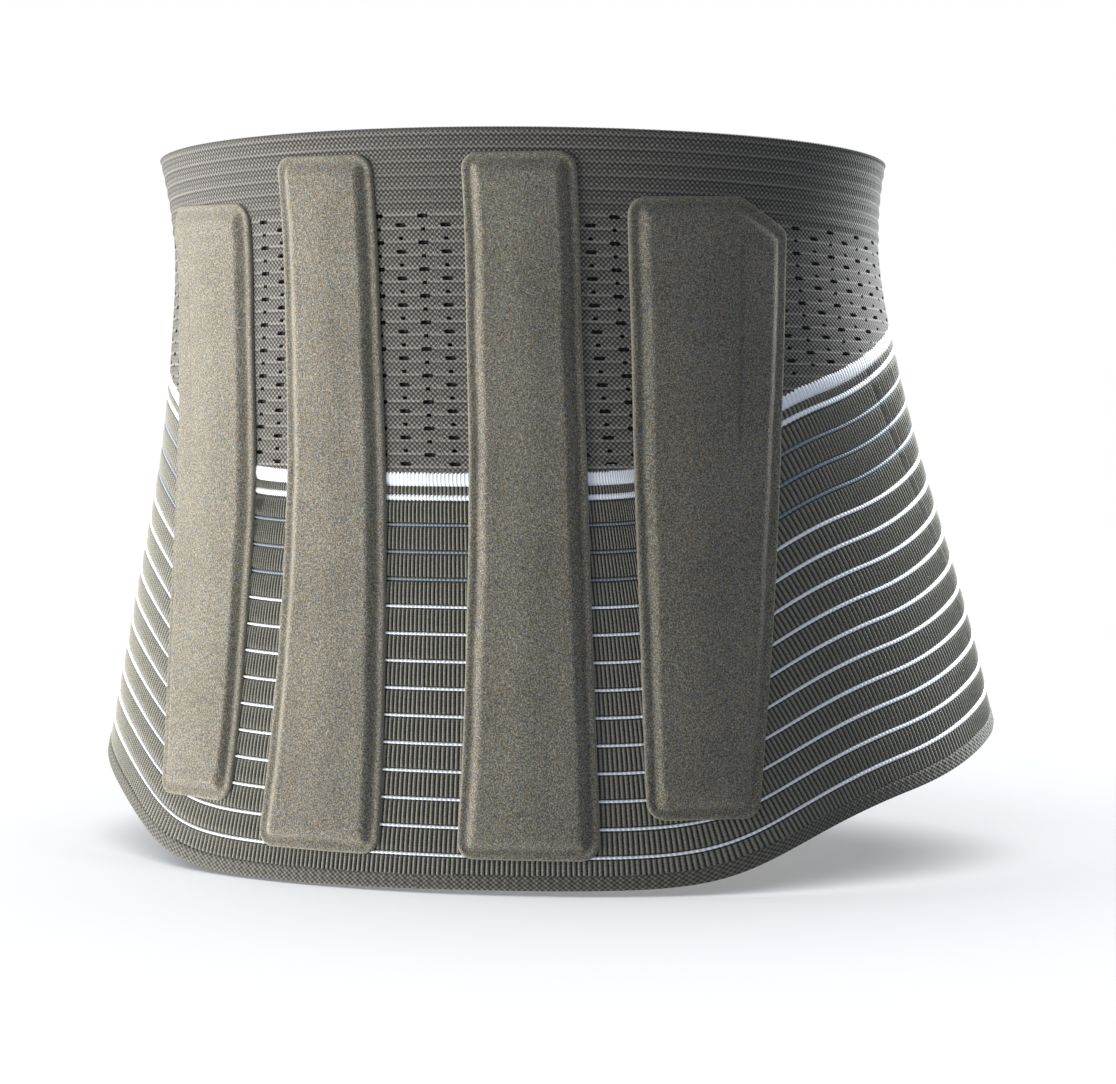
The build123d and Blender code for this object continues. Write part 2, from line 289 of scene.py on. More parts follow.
# ---------------------------------------------------------------- meshes
def make_object(name, points, faces, material, uv, values, sharp):
    """Mesh object from points in millimetres. A face has four corners, or three and a doubled one."""
    double = faces == np.roll(faces, -1, 1)
    faces, double = faces[double.sum(1) < 2], double[double.sum(1) < 2]
    corners = faces[~double]
    sizes = 4 - double.sum(1)
    mesh = bpy.data.meshes.new(name)
    mesh.vertices.add(len(points))
    mesh.vertices.foreach_set("co", (points * MM).astype(np.float32).ravel())
    mesh.loops.add(len(corners))
    mesh.loops.foreach_set("vertex_index", corners.astype(np.int32))
    mesh.polygons.add(len(faces))
    mesh.polygons.foreach_set("loop_start", (np.cumsum(sizes) - sizes).astype(np.int32))
    mesh.update(calc_edges=True)
    mesh.materials.append(material)
    if uv is not None:
        layer = mesh.uv_layers.new(name="fabric")
        layer.data.foreach_set("uv", (uv[corners] * MM).astype(np.float32).ravel())
    for key, value in values.items():
        layer = mesh.attributes.new(key, "FLOAT", "POINT")
        layer.data.foreach_set("value", value.astype(np.float32))
    mesh.validate()
    mesh.shade_smooth()
    mesh.set_sharp_from_angle(angle=math.radians(sharp))
    obj = bpy.data.objects.new(name, mesh)
    bpy.context.scene.collection.objects.link(obj)
    return obj


def grid_faces(rows, columns):
    i, j = np.meshgrid(np.arange(rows - 1), np.arange(columns - 1), indexing="ij")
    first = i * columns + j
    return np.stack((first, first + 1, first + columns + 1, first + columns), -1).reshape(-1, 4)


def border_edges(faces, count):
    """Edges that only one face has, in its direction."""
    edges = np.concatenate([faces[:, (k, (k + 1) % 4)] for k in range(4)])
    edges = edges[edges[:, 0] != edges[:, 1]]
    key = np.sort(edges, 1) @ np.array((count, 1))
    _, index, uses = np.unique(key, return_index=True, return_counts=True)
    return edges[index[uses == 1]]


def shell(name, outer, inner, material, uv=None, keep=None, values=None, flip=False, sharp=80):
    """Closed solid between two grids of points, with walls at its border and round its holes.

    With no inner grid, the outer one is a tube that closes on itself.
    """
    faces = grid_faces(*outer.shape[:2])
    if keep is not None:
        faces = faces[keep.ravel()]
    points = outer.reshape(-1, 3)
    n = len(points)
    # Points that fell on each other at a cut edge, or where a strip closes, become one.
    _, unique, same = np.unique(np.round(points, 3), axis=0, return_index=True, return_inverse=True)
    faces = unique[same.ravel()][faces]
    corners = points[faces]
    area = np.linalg.norm(np.cross(corners[:, 2] - corners[:, 0], corners[:, 3] - corners[:, 1]), axis=1)
    faces = faces[area > 2e-3]
    if flip:
        faces = faces[:, ::-1]
    # A face with opposite corners the same is nothing, and one with neighbours the same is a triangle.
    faces = faces[(faces[:, 0] != faces[:, 2]) & (faces[:, 1] != faces[:, 3])]
    _, first_of = np.unique(np.sort(faces, 1), axis=0, return_index=True)
    faces = faces[np.sort(first_of)]
    if inner is not None:
        border = border_edges(faces, n)
        walls = np.stack((border[:, 1], border[:, 0], border[:, 0] + n, border[:, 1] + n), -1)
        faces = np.concatenate((faces, faces[:, ::-1] + n, walls))
        points = np.concatenate((points, inner.reshape(-1, 3)))
    used, faces = np.unique(faces, return_inverse=True)
    pick = used % n
    uv = None if uv is None else uv.reshape(-1, 2)[pick]
    values = {key: value.ravel()[pick] for key, value in (values or {}).items()}
    return make_object(name, points[used], faces.reshape(-1, 4), material, uv, values, sharp)


def faces_out(obj):
    """Make a closed mesh's faces point outward."""
    mesh = bmesh.new()
    mesh.from_mesh(obj.data)
    bmesh.ops.recalc_face_normals(mesh, faces=mesh.faces)
    mesh.to_mesh(obj.data)
    mesh.free()


def flat_size(outer):
    """Width and length in metres of a grid of points, and its area."""
    along = np.linalg.norm(np.diff(outer, axis=1), axis=2).sum(1).max()
    up = np.linalg.norm(np.diff(outer, axis=0), axis=2).sum(0).max()
    corners = np.cross(outer[1:, 1:] - outer[:-1, :-1], outer[1:, :-1] - outer[:-1, 1:])
    area = np.linalg.norm(corners, axis=2).sum() / 2
    return (along * MM, up * MM), min(area, along * up) * MM**2


# ---------------------------------------------------------------- materials
def srgb(r, g, b):
    """Linear colour from 0 to 255 display values."""
    return (*((c / 255 / 12.92) if c <= 10 else ((c / 255 + 0.055) / 1.055) ** 2.4 for c in (r, g, b)), 1.0)


def tone(colour, factor):
    return (*(c * factor for c in colour[:3]), 1.0)


class Nodes:
    """The nodes of a material or world, and short ways to add to them. Its main node gives it its look."""

    def __init__(self, owner, main):
        owner.use_nodes = True
        self.owner, self.nodes, self.links = owner, owner.node_tree.nodes, owner.node_tree.links
        self.main = self.nodes[main]

    def set(self, socket, value):
        self.put(self.main.inputs[socket], value)

    def put(self, socket, value):
        if isinstance(value, bpy.types.NodeSocket):
            self.links.new(value, socket)
        else:
            socket.default_value = value

    def node(self, kind, inputs=(), **settings):
        """Node with its settings, and values or links for its first or its named inputs."""
        made = self.nodes.new(kind)
        for key, value in settings.items():
            setattr(made, key, value)
        for key, value in inputs.items() if isinstance(inputs, dict) else enumerate(inputs):
            self.put(made.inputs[key], value)
        return made

    def math(self, operation, *values):
        return self.node("ShaderNodeMath", values, operation=operation).outputs[0]

    def times(self, a, b):
        return self.math("MULTIPLY", a, b)

    def plus(self, a, b):
        return self.math("ADD", a, b)

    def uv(self):
        return self.node("ShaderNodeUVMap", uv_map="fabric").outputs[0]

    def along_and_up(self):
        return self.node("ShaderNodeSeparateXYZ", (self.uv(),)).outputs[:2]

    def place(self):
        return self.node("ShaderNodeTexCoord").outputs["Object"]

    def scaled(self, vector, factors):
        return self.node("ShaderNodeVectorMath", (vector, factors), operation="MULTIPLY").outputs[0]

    def noise(self, vector, size, detail=2.0, rough=0.5, stretch=(1, 1, 1)):
        """Noise whose blobs are about size millimetres across."""
        scaled = self.scaled(vector, [s / (size * MM) for s in stretch])
        inputs = {"Vector": scaled, "Scale": 1.0, "Detail": detail, "Roughness": rough}
        return self.node("ShaderNodeTexNoise", inputs).outputs["Fac"]

    def wave(self, along, period, phase=0.0):
        """Sine from 0 to 1 of a length, with a period in millimetres."""
        angle = self.math("MULTIPLY_ADD", along, WHOLE_TURN / (period * MM), phase)
        return self.math("MULTIPLY_ADD", self.math("SINE", angle), 0.5, 0.5)

    def attribute(self, name):
        return self.node("ShaderNodeAttribute", attribute_name=name).outputs["Fac"]

    def ramp(self, value, *stops):
        made = self.node("ShaderNodeValToRGB", (value,))
        elements = made.color_ramp.elements
        for k, (position, colour) in enumerate(stops):
            element = elements[k] if k < len(elements) else elements.new(position)
            element.position, element.color = position, colour
        return made.outputs[0]

    def tones(self, value, colour, *stops):
        """Ramp of one colour made darker or lighter; a stop is a position and a factor."""
        return self.ramp(value, *((position, tone(colour, factor)) for position, factor in stops))

    def greys(self, value, *stops):
        return self.tones(value, (1, 1, 1), *stops)

    def mix(self, factor, a, b, kind="MIX"):
        inputs = {0: factor, 6: a, 7: b}
        return self.node("ShaderNodeMix", inputs, data_type="RGBA", blend_type=kind).outputs[2]


class Shader(Nodes):
    """A Principled material."""

    def __init__(self, name, rough=0.85, sheen=0.0, sheen_rough=0.4, specular=0.3, sheen_tint=(1, 1, 1, 1)):
        super().__init__(bpy.data.materials.new(name), "Principled BSDF")
        for socket, value in (("Roughness", rough), ("Sheen Weight", sheen), ("Sheen Roughness", sheen_rough),
                              ("Sheen Tint", sheen_tint), ("Specular IOR Level", specular)):
            self.set(socket, value)

    def cloudy(self, base, colour):
        """Broad faint darker places."""
        return self.mix(self.times(self.noise(self.place(), 45, 2), 0.25), base, tone(colour, 0.7))

    def finished(self, base, height, depth, strength=1.0):
        """The material with its colour, and a relief of height from 0 to 1, depth millimetres deep."""
        inputs = {"Strength": strength, "Distance": depth * MM, "Height": height}
        self.set("Normal", self.node("ShaderNodeBump", inputs).outputs[0])
        self.set("Base Color", base)
        return self.owner


def knitted(name, colour, course=0.94, wale=0.9, lines=0.0, tones=(0.12, 0.8, 2.6)):
    """Fine flat knit: rows of small stitches, with courses of lighter and of darker yarn."""
    s = Shader(name, rough=0.82, sheen=0.2, sheen_rough=0.35, specular=0.25, sheen_tint=srgb(200, 205, 210))
    u, v = s.along_and_up()
    # Stitches lie in rows, each half a stitch along from the last.
    along = s.math("SINE", s.times(u, math.pi / (wale * MM)))
    up = s.math("SINE", s.times(v, math.pi / (course * MM)))
    stitches = s.math("MULTIPLY_ADD", s.times(along, up), 0.5, 0.5)
    melange = s.noise(s.uv(), 0.9)
    shade = s.plus(s.times(stitches, 0.6), s.times(melange, 0.4))
    base = s.tones(shade, colour, *zip((0.25, 0.5, 0.78), tones))
    if lines:
        base = course_lines(s, base, colour, v, lines)
    return s.finished(s.cloudy(base, colour), stitches, 0.3, 0.9)


def course_lines(s, base, colour, v, lines):
    """Courses of the mesh zone: a light, a dark and a middle one for each row of holes, broken by wisps."""
    at = WHOLE_TURN * (0.25 - ((FIRST_HOLES - HOLE_STAGGER - 1.1) / ROW_PITCH) % 1)
    light = s.math("POWER", s.wave(v, ROW_PITCH, at), 14.0)
    dark = s.math("POWER", s.wave(v, ROW_PITCH, at + 1.1), 10.0)
    middle = s.math("POWER", s.wave(v, ROW_PITCH, at + math.pi), 12.0)
    wisp = s.noise(s.uv(), 9, 3, stretch=(0.25, 2, 1))
    strength = s.times(s.greys(wisp, (0.3, 0.35), (0.7, 1.0)), lines)
    # The waistband is knitted closer: its light courses are duller, with thin dark ones between.
    waist = s.math("GREATER_THAN", v, WAISTBAND * MM)
    close = s.math("POWER", s.wave(v, ROW_PITCH / 3, at), 5.0)
    light = s.times(light, s.math("MULTIPLY_ADD", waist, -0.45, 1.0))
    closer = s.times(waist, s.math("MULTIPLY_ADD", close, 0.55, 0.05))
    base = s.mix(closer, base, tone(colour, 0.15))
    base = s.mix(s.times(light, strength), base, tone(colour, 2.9))
    base = s.mix(s.times(dark, strength), base, tone(colour, 0.18))
    return s.mix(s.times(middle, s.times(strength, 0.6)), base, tone(colour, 0.25))


def ribbed(name, colour):
    """Elastic rib: each rib's groove is darkened by painted shade against its lighter crown, with a fine
    stitch along it.
    """
    s = Shader(name, rough=0.8, sheen=0.25, sheen_rough=0.35, specular=0.25, sheen_tint=srgb(210, 212, 214))
    _, v = s.along_and_up()
    relief = s.attribute("relief")
    stitch = s.wave(v, 0.95)
    melange = s.noise(s.uv(), 0.9)
    edge_dots = s.times(stitch, s.math("SUBTRACT", 1.0, relief))
    shade = s.plus(s.times(relief, 0.6), s.times(melange, 0.4))
    shade = s.plus(shade, s.times(edge_dots, 0.22))
    # The tone follows the ribs' relief: painted shade in the grooves.
    base = s.tones(shade, colour, (0.2, 0.08), (0.52, 0.4), (0.72, 1.0), (0.95, 1.7))
    height = s.plus(s.times(stitch, 0.5), s.times(melange, 0.5))
    return s.finished(s.cloudy(base, colour), height, 0.22, 0.8)


def yarn(name, colour, dark=0.75):
    """Smooth covered yarn or a dense band of it."""
    s = Shader(name, rough=0.6, sheen=0.2, specular=0.35)
    u, _ = s.along_and_up()
    fine = s.noise(s.uv(), 0.7, stretch=(1, 2.5, 1))
    height = s.plus(s.times(s.wave(u, RIB_PITCH), 0.6), s.times(fine, 0.4))
    return s.finished(s.tones(height, colour, (0.1, dark), (0.5, 1.0)), height, 0.15)


def suede(name, colour):
    """Napped laminate: a fine grain of light and dark fibres, brushed in places, lighter along its outline.
    """
    s = Shader(name, rough=0.95, sheen=0.35, sheen_rough=0.5, specular=0.1, sheen_tint=srgb(225, 222, 210))
    grain = s.noise(s.place(), 0.5, rough=0.6)
    fleck = s.noise(s.place(), 0.95, rough=0.6)
    brushed = s.noise(s.place(), 26, 3, 0.6)
    base = s.tones(grain, colour, (0.36, 0.2), (0.5, 0.92), (0.64, 2.3))
    flecks = s.ramp(fleck, (0.36, srgb(98, 116, 136)), (0.5, srgb(126, 124, 112)), (0.66, srgb(154, 124, 86)))
    base = s.mix(0.26, base, flecks)
    base = s.mix(1.0, base, s.greys(brushed, (0.32, 0.86), (0.68, 1.0)), "MULTIPLY")
    # Painted shade: the pad is darker along its creases.
    base = s.mix(s.times(s.attribute("crease"), 0.35), base, tone(colour, 0.3))
    base = s.mix(s.times(s.attribute("rim"), 0.5), base, tone(colour, 1.7))
    return s.finished(base, s.plus(grain, s.times(fleck, 0.6)), 0.3, 0.8)


def woven(name, colour, pitch_u, pitch_v, depth, rough=0.7, sheen=0.15, contrast=0.5):
    """Plain weave: yarns that go over and under each other."""
    s = Shader(name, rough=rough, sheen=sheen)
    u, v = s.along_and_up()
    over = s.math("ABSOLUTE", s.math("SUBTRACT", s.wave(u, pitch_u), s.wave(v, pitch_v)))
    height = s.plus(s.times(over, 0.75), s.times(s.noise(s.uv(), 0.5, 3), 0.25))
    base = s.tones(height, colour, (0.1, 1 - contrast), (0.55, 1.0), (0.95, 1.35))
    return s.finished(base, height, depth)


def napped(name, colour, size, depth, rough=0.95, sheen=0.4):
    """Pile, hooks or felt: a dense field of small ends."""
    s = Shader(name, rough=rough, sheen=sheen, specular=0.2)
    inputs = {"Vector": s.scaled(s.place(), [1 / (size * MM)] * 3), "Scale": 1.0}
    ends = s.node("ShaderNodeTexVoronoi", inputs, feature="F1").outputs["Distance"]
    height = s.plus(s.times(ends, 0.7), s.times(s.noise(s.place(), 12, 3), 0.3))
    base = s.tones(height, colour, (0.05, 1.5), (0.45, 1.0), (0.85, 0.45))
    return s.finished(base, s.math("SUBTRACT", 1.0, ends), depth)


def moulded(name, colour, rough=0.4, metal=0.0):
    """Moulded plastic or rolled steel, with a faint grain and small scuffs."""
    s = Shader(name, specular=0.5)
    scuffs = s.noise(s.place(), 6, 4, 0.7, stretch=(1, 1, 0.15))
    s.set("Metallic", metal)
    s.set("Roughness", s.math("MULTIPLY_ADD", scuffs, 0.25, rough - 0.1))
    base = s.tones(scuffs, colour, (0.3, 0.8), (0.6, 1.0), (0.8, 1.25))
    return s.finished(base, s.noise(s.place(), 0.6, 3), 0.03)


FINISH = {
    "mesh": knitted("perforated_knit", srgb(96, 93, 88), lines=0.8),
    "ribs": ribbed("ribbed_knit", srgb(118, 116, 106)),
    "hem": knitted("hem_knit", srgb(100, 98, 90), course=0.8, wale=1.0, tones=(0.25, 0.75, 1.5)),
    "white": yarn("white_yarn", srgb(238, 242, 246)),
    "faint": yarn("grey_yarn", srgb(128, 141, 151), dark=0.35),
    # Near-black, so that the holes of the perforated knit show painted shade.
    "inner": knitted("inner_knit", srgb(40, 41, 42), 1.1, 1.1),
    "suede": suede("taupe_suede", srgb(110, 106, 94)),
    "backing": napped("backing_felt", srgb(104, 102, 94), 0.9, 0.25),
    "tongue": woven("tongue_laminate", srgb(84, 83, 79), 1.3, 1.3, 0.18),
    "lining": knitted("lining_knit", srgb(118, 116, 108), 1.0, 1.0),
    "binding": woven("binding_tape", srgb(66, 65, 62), 0.8, 1.4, 0.15),
    "webbing": woven("loop_webbing", srgb(60, 60, 58), 1.5, 1.1, 0.35, contrast=0.6),
    "hook": napped("hook_tape", srgb(62, 62, 60), 1.3, 0.5, 0.5, 0.0),
    "pile": napped("pile_velour", srgb(88, 86, 82), 0.9, 0.6),
    "label": woven("label_satin", srgb(190, 189, 183), 0.35, 0.5, 0.05, 0.5, 0.1, 0.15),
    "thread": yarn("sewing_thread", srgb(92, 90, 85), dark=0.6),
    "stay": moulded("spring_steel_stay", srgb(150, 152, 155), 0.3, 1.0),
    "stay_plastic": moulded("plastic_stay", srgb(205, 208, 210)),
    "tip": moulded("stay_tip_plastic", srgb(225, 226, 226), 0.35),
}


# ---------------------------------------------------------------- knit band
# The middle of each fold zone on the right side, the direction across it, and how far it reaches.
FOLDS = {
    "side": ((149.3, -31.6, 148.3), (0.480, 0.876, 0.136), 16),
    "front": ((140.2, 60.3, 150.8), (-0.651, 0.759, -0.024), 20),
}
SHEETS = {}                  # the knit sheets with their flat sizes, by kind, segment and side
ON_RIBBED = {}               # the pieces that belong to the ribbed sheets, by segment and side


def attach(obj, segment, side):
    """Make a band piece ride on the back; a piece of any other segment only has its placing baked into its
    points.
    """
    if segment == "back":
        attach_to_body(obj, "back")
        return
    middle, across, reach = FOLDS[segment]
    mirror = np.array((side, 1, 1))
    middle, across = np.array(middle) * mirror * MM, np.array(across) * mirror
    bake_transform(obj)


def band_piece(kind, segment, side, outer, inner, finish, uv, keep=None, values=None, sharp=80):
    name = f"{kind}_{NAMES[side]}_{segment}"
    obj = shell(name, outer, inner, FINISH[finish], uv, keep, values, flip=side < 0, sharp=sharp)
    attach(obj, segment, side)
    if kind.endswith("_knit"):
        SHEETS[kind, segment, side] = obj, flat_size(inner)
    else:
        ON_RIBBED.setdefault((segment, side), []).append(obj)


def band_pieces(kind, side, parts, t, z, out, inner_out, finish, uv, keep, values=None, sharp=80):
    """The pieces of a grid that is cut into slices of columns, one for each segment."""
    for (segment, *_), part in zip(SEGMENTS, parts):
        angle, height = side * t[:, part], z[:, part]
        outer, inner = surface(angle, height, out[:, part]), surface(angle, height, inner_out)
        kept = keep[:, part.start:part.stop - 1]
        cut = {key: value[:, part] for key, value in (values or {}).items()}
        band_piece(kind, segment, side, outer, inner, finish, uv[:, part], kept, cut, sharp)


def segment_slices(angles, period):
    """Which columns each segment has; neighbours share a column, where a rib or hole column starts."""
    cuts = []
    for _, *ends in SEGMENTS:
        first, last = np.searchsorted(angles, np.radians(ends)) // period * period * (np.array(ends) > 0)
        cuts.append(slice(int(first), min(int(last) + 1, len(angles))))
    return cuts


REF_COURSE = 30.0            # the course that the ribs' pitch is measured along
COURSE_STEP = 2.0
LEAN_FALL = 0.5              # how fast the ribs may straighten up again round the belt, for each radian
RIB_PHASES = (0, 0.27, 0.5, 0.73)    # columns of points on a rib, as shares of the pitch
RIB_PROFILE = (0, 0.82, 1, 0.82)
COLUMNS_ON_RIB = len(RIB_PHASES)


class RibColumns:
    """Columns of points along the ribs, from the spine round to the front."""

    def __init__(self):
        t = np.linspace(0, LAST_ANGLE, 4001)
        speed = np.hypot(metric(t, REF_COURSE + rise(t)), rise_slope(t))
        run = running((speed[1:] + speed[:-1]) / 2 * np.diff(t))
        count = int(run[-1] / RIB_PITCH)
        self.count = count
        self.lengths = (np.arange(count)[:, None] + RIB_PHASES).ravel() * RIB_PITCH
        self.angles = np.interp(self.lengths, run, t)
        self.relief = self.on_ribs(RIB_PROFILE)
        # Ribs stand square to the climbing courses, but never fan out much.
        slope = rise_slope(t) / metric(t, REF_COURSE + rise(t))
        lean = np.maximum.accumulate(slope / (1 + slope**2) + LEAN_FALL * t) - LEAN_FALL * t
        self.courses = np.arange(-10, 161, COURSE_STEP)
        self.table = np.empty((len(self.courses), len(self.angles)))
        middle = int((REF_COURSE - self.courses[0]) // COURSE_STEP)
        self.table[middle] = self.angles
        for direction, last in ((1, len(self.courses)), (-1, -1)):
            for k in range(middle, last - direction, direction):
                angles = self.table[k]
                reach = metric(angles, self.courses[k] + rise(angles))
                drift = direction * COURSE_STEP * np.interp(angles, t, np.maximum(lean, 0)) / reach
                self.table[k + direction] = angles - drift
        self.parts = segment_slices(self.angles, COLUMNS_ON_RIB)

    def on_ribs(self, values):
        """One value for each column of a rib, repeated over all ribs."""
        return np.tile(values, self.count)

    def at(self, courses):
        """Angles of every column at the courses, as rows."""
        place = np.clip((courses - self.courses[0]) / COURSE_STEP, 0, len(self.courses) - 1.001)
        k = place.astype(int)
        share = (place - k)[:, None]
        return self.table[k] * (1 - share) + self.table[k + 1] * share


RIBS = RibColumns()
INLAY_COURSES = FIRST_INLAY + INLAY_PITCH * np.arange(INLAYS)
# Rows of points from a cord up: distance, and shares of the ribs' height and of their bulge.
INLAY_ROWS = ((-1.15, 1, 0), (-0.62, 0, 0), (0.62, 0, 0), (1.15, 1, 0), (3.7, 1, 1), (6.2, 1, 1))


def ribbed_band(side):
    """Lower part of the belt: vertical ribs between the inlaid cords."""
    # A row is a course, the share of the ribs' height there, and the share of the ribs' bulge.
    low_band, wide_band = WHITE_BANDS
    rows = [(v, 1, 0) for v in (-0.6, 2.0, HEM - 0.6, HEM + 0.6, HEM + 1.6, HEM + 3.4)]
    for v in INLAY_COURSES:
        rows += [(v + d, *rest) for d, *rest in INLAY_ROWS]
    rows += [(136.8, 1, 0), (low_band[0] + 0.2, 0, 0), (low_band[1] - 0.2, 0, 0)]
    rows += [(140.6, 1, 0), (142.7, 1, 0), (wide_band[0] + 0.3, 0, 0), (SHEETS_MEET, 0, 0)]
    courses, level, bulge = (column[:, None] for column in np.array(rows).T)
    t = RIBS.at(courses[:, 0])
    z = courses + rise(t)
    t, held, keep = trimmed(t, z, side, HEM - 0.6, 1.2)
    t = to_root(t, held, side)
    raised = RIBS.relief * level * (held == z)
    out = RIB_FLOOR + (RIB_CROWN - RIB_FLOOR) * raised + 0.12 * bulge * raised
    uv = stack(RIBS.lengths, courses)
    # Their relief also goes to the material, where it paints shade into the grooves.
    band_pieces("ribbed_knit", side, RIBS.parts, t, held, out, -KNIT, "ribs", uv, keep, {"relief": raised})


# Section of an inlaid cord: places across it as shares of its half width, and how far out.
CORD_SECTION = np.array((
    (-1, -0.45), (-0.9, 0.05), (-0.5, 0.42), (0, 0.55), (0.5, 0.42), (0.9, 0.05), (1, -0.45),
))
CORD_HALF = 0.5
CORD_NOTCHES = (-0.16, 0.05, 0.1, 0.05)


def inlay_cords(kind, finish, side, courses, lift):
    """Inlaid cords, half round with a notch at each rib, joined to one piece in each segment."""
    notch = RIBS.on_ribs(CORD_NOTCHES)
    for (segment, *_), part in zip(SEGMENTS, RIBS.parts):
        outers, inners, uvs, keeps = [], [], [], []
        for v in courses:
            centre = RIBS.at(np.array([v]))[0][part]
            # They are half as wide again from the flank on.
            half = CORD_HALF * (1 + 0.5 * smoothstep((centre - 0.7) / 0.35)) * (1 + notch[part])
            across = v + CORD_SECTION[:, :1] * half
            t = np.broadcast_to(centre, across.shape)
            t, z, keep = trimmed(t, across + rise(t), side, 0.8, 1.4)
            out = CORD_SECTION[:, 1:] * (1 + 1.5 * notch[part]) + lift - 0.15
            outers.append(surface(side * t, z, out))
            inners.append(surface(side * t, z, np.minimum(out, -0.6) - 0.1))
            uvs.append(stack(RIBS.lengths[part], across))
            keeps += [keep, np.zeros((1, len(centre) - 1), bool)]
        band_piece(kind, segment, side, np.concatenate(outers), np.concatenate(inners), finish,
                   np.concatenate(uvs), np.concatenate(keeps)[:-1])


def white_band(kind, side, ends, count, lift):
    """Flat raised band with toothed edges."""
    rows = np.linspace(*ends, count)
    t = RIBS.at(rows)
    teeth = RIBS.on_ribs((-0.3, 0.05, 0.3, 0.05)) * np.linspace(-0.6, 1, count)[:, None]
    t, z, keep = trimmed(t, rows[:, None] + rise(t) + teeth, side, 0.8, 1.4)
    crown = np.sin(np.linspace(0, math.pi, count))[:, None] ** 0.5
    out = -0.3 + (0.3 + lift + RIBS.on_ribs((-0.1, 0.0, 0.06, 0.0))) * crown
    uv = stack(RIBS.lengths, rows[:, None])
    band_pieces(kind, side, RIBS.parts, t, z, out, -0.75, "white", uv, keep)


def hole_levels():
    """Rows of holes downward from the waistband: height, which columns have one, and whether it is wide."""
    levels = []
    for k in range(int((FIRST_HOLES - SHEETS_MEET - 2) / ROW_PITCH) + 1):
        level = FIRST_HOLES - k * ROW_PITCH
        levels += [(level, 0, k % 2 == 0), (level - HOLE_STAGGER, 1, k % 2 == 0)]
    return levels


def perforated_band(side):
    """Upper part of the belt: the knit with its staggered holes, and the plain waistband."""
    turn = np.linspace(0, LAST_ANGLE, 4001)
    speed = metric(turn, MESH_REF)
    run = running((speed[1:] + speed[:-1]) / 2 * np.diff(turn))
    # One column of holes lies almost on the spine; the two halves meet to its right.
    start = side * (SPINE_COLUMN + HOLE_PITCH / 2)
    count = int((run[-1] - start) / HOLE_PITCH)
    centres = start + HOLE_PITCH * (np.arange(count) + 0.5)
    lengths = np.concatenate([[start]] + [np.append(c + HOLE_COLUMNS, c + HOLE_PITCH / 2) for c in centres])
    step = len(HOLE_COLUMNS) + 1
    angles = np.sign(lengths) * np.interp(np.abs(lengths), run, turn)
    levels = hole_levels()
    lines = {round(z + d, 3) for z, *_ in levels for d in (-HOLE_HEIGHT / 2, 0, HOLE_HEIGHT / 2)}
    bars = set(np.round(np.arange(WAISTBAND, TOP, BAR_PITCH), 3))
    lines = np.array(sorted(lines | bars | {SHEETS_MEET - 1.2, TOP}))
    t = np.broadcast_to(angles, (len(lines), len(angles)))
    follows = np.clip((lines[:, None] - DROP_START) / (DROP_WHOLE - DROP_START), 0, 1)
    z = lines[:, None] - drop(t) * follows
    keep = np.ones((len(lines) - 1, len(lengths) - 1), bool)
    dz, ds = np.zeros_like(z), np.zeros_like(z)
    for level, column_parity, wide in levels:
        i = int(np.argmin(np.abs(lines - level)))
        # A hole's corners are pulled in, so that it looks rounded.
        pull_s, pull_z = (0.2, 0.18) if wide else (0.22, 0.12)
        for c in range((column_parity + (side > 0)) % 2, count, 2):
            a, b = (step * c + column for column in (WIDE_HOLE if wide else NARROW_HOLE))
            keep[i - 1:i + 1, a:b] = False
            for row, up in ((i - 1, 1), (i + 1, -1)):
                dz[row, [a, b]] += up * pull_z
                ds[row, a] += pull_s
                ds[row, b] -= pull_s
    t = t + ds / metric(t, z)
    z = z + dz
    # The wide band and the edges cut the sheet off, and there are no holes next to the band.
    low = SHEETS_MEET + rise(t)
    under = z < low
    z = np.maximum(z, low)
    within = faces_within(t, z, edge(t, side, False) + KNIT_GAP, edge(t, side, True) - KNIT_GAP, side)
    z = np.minimum(z, edge(t, side, True) - KNIT_GAP)
    t = to_root(t, z, side)
    z = np.clip(z, edge(t, side, False) + KNIT_GAP, edge(t, side, True) - KNIT_GAP)
    keep |= under[1:, 1:] | under[:-1, :-1] | (low[:-1, :-1] + UNBROKEN > z[:-1, :-1])
    keep &= within
    # Course lines stand a little proud; the waistband is firmer, in fine bars.
    course = np.cos((lines - FIRST_HOLES) * WHOLE_TURN / ROW_PITCH + 2.2)
    out = np.where(lines > WAISTBAND, 0.16, 0.07) * course + np.where(lines > WAISTBAND + 0.5, 0.25, 0)
    out = np.where(under, -0.75, out[:, None])
    uv = stack(lengths, lines[:, None])
    parts = segment_slices(angles, step)
    band_pieces("perforated_knit", side, parts, t, z, out, -MESH_KNIT, "mesh", uv, keep, sharp=60)


def inner_face(side):
    """Inner face of the double knit behind the perforated one, made near-black so that painted shade shows
    through the holes.
    """
    for segment, start, end in SEGMENTS:
        angles = np.radians(np.linspace(start, end, max(12, int((end - start) / 1.4))))
        share = np.linspace(0, 1, 48)[:, None]
        t = np.broadcast_to(angles, (len(share), len(angles)))
        low, high = SHEETS_MEET + rise(t), edge(t, side, True) - 1.0
        z = low + (high - low) * share
        t = to_root(t, z, side)
        z = np.clip(z, edge(t, side, False) + 1, edge(t, side, True) - 1.0)
        uv = stack(np.degrees(angles) * 2.4, z)
        outer = surface(side * t, z, -MESH_KNIT - 0.1)
        band_piece("inner_face", segment, side, outer, surface(side * t, z, -1.75), "inner", uv, sharp=50)


# Section of the hem, from its lower edge up: height and how far out.
HEM_SECTION = np.array((
    (-0.9, -0.8), (0, 0.05), (0.7, 0.32), (1.5, 0.3), (2.6, 0.22), (3.7, 0.3), (4.6, 0.26), (HEM, -0.1),
))
HEM_ZIGZAG = 3.56
ROLL = 0.9                   # radius of the top edge's roll, up and down


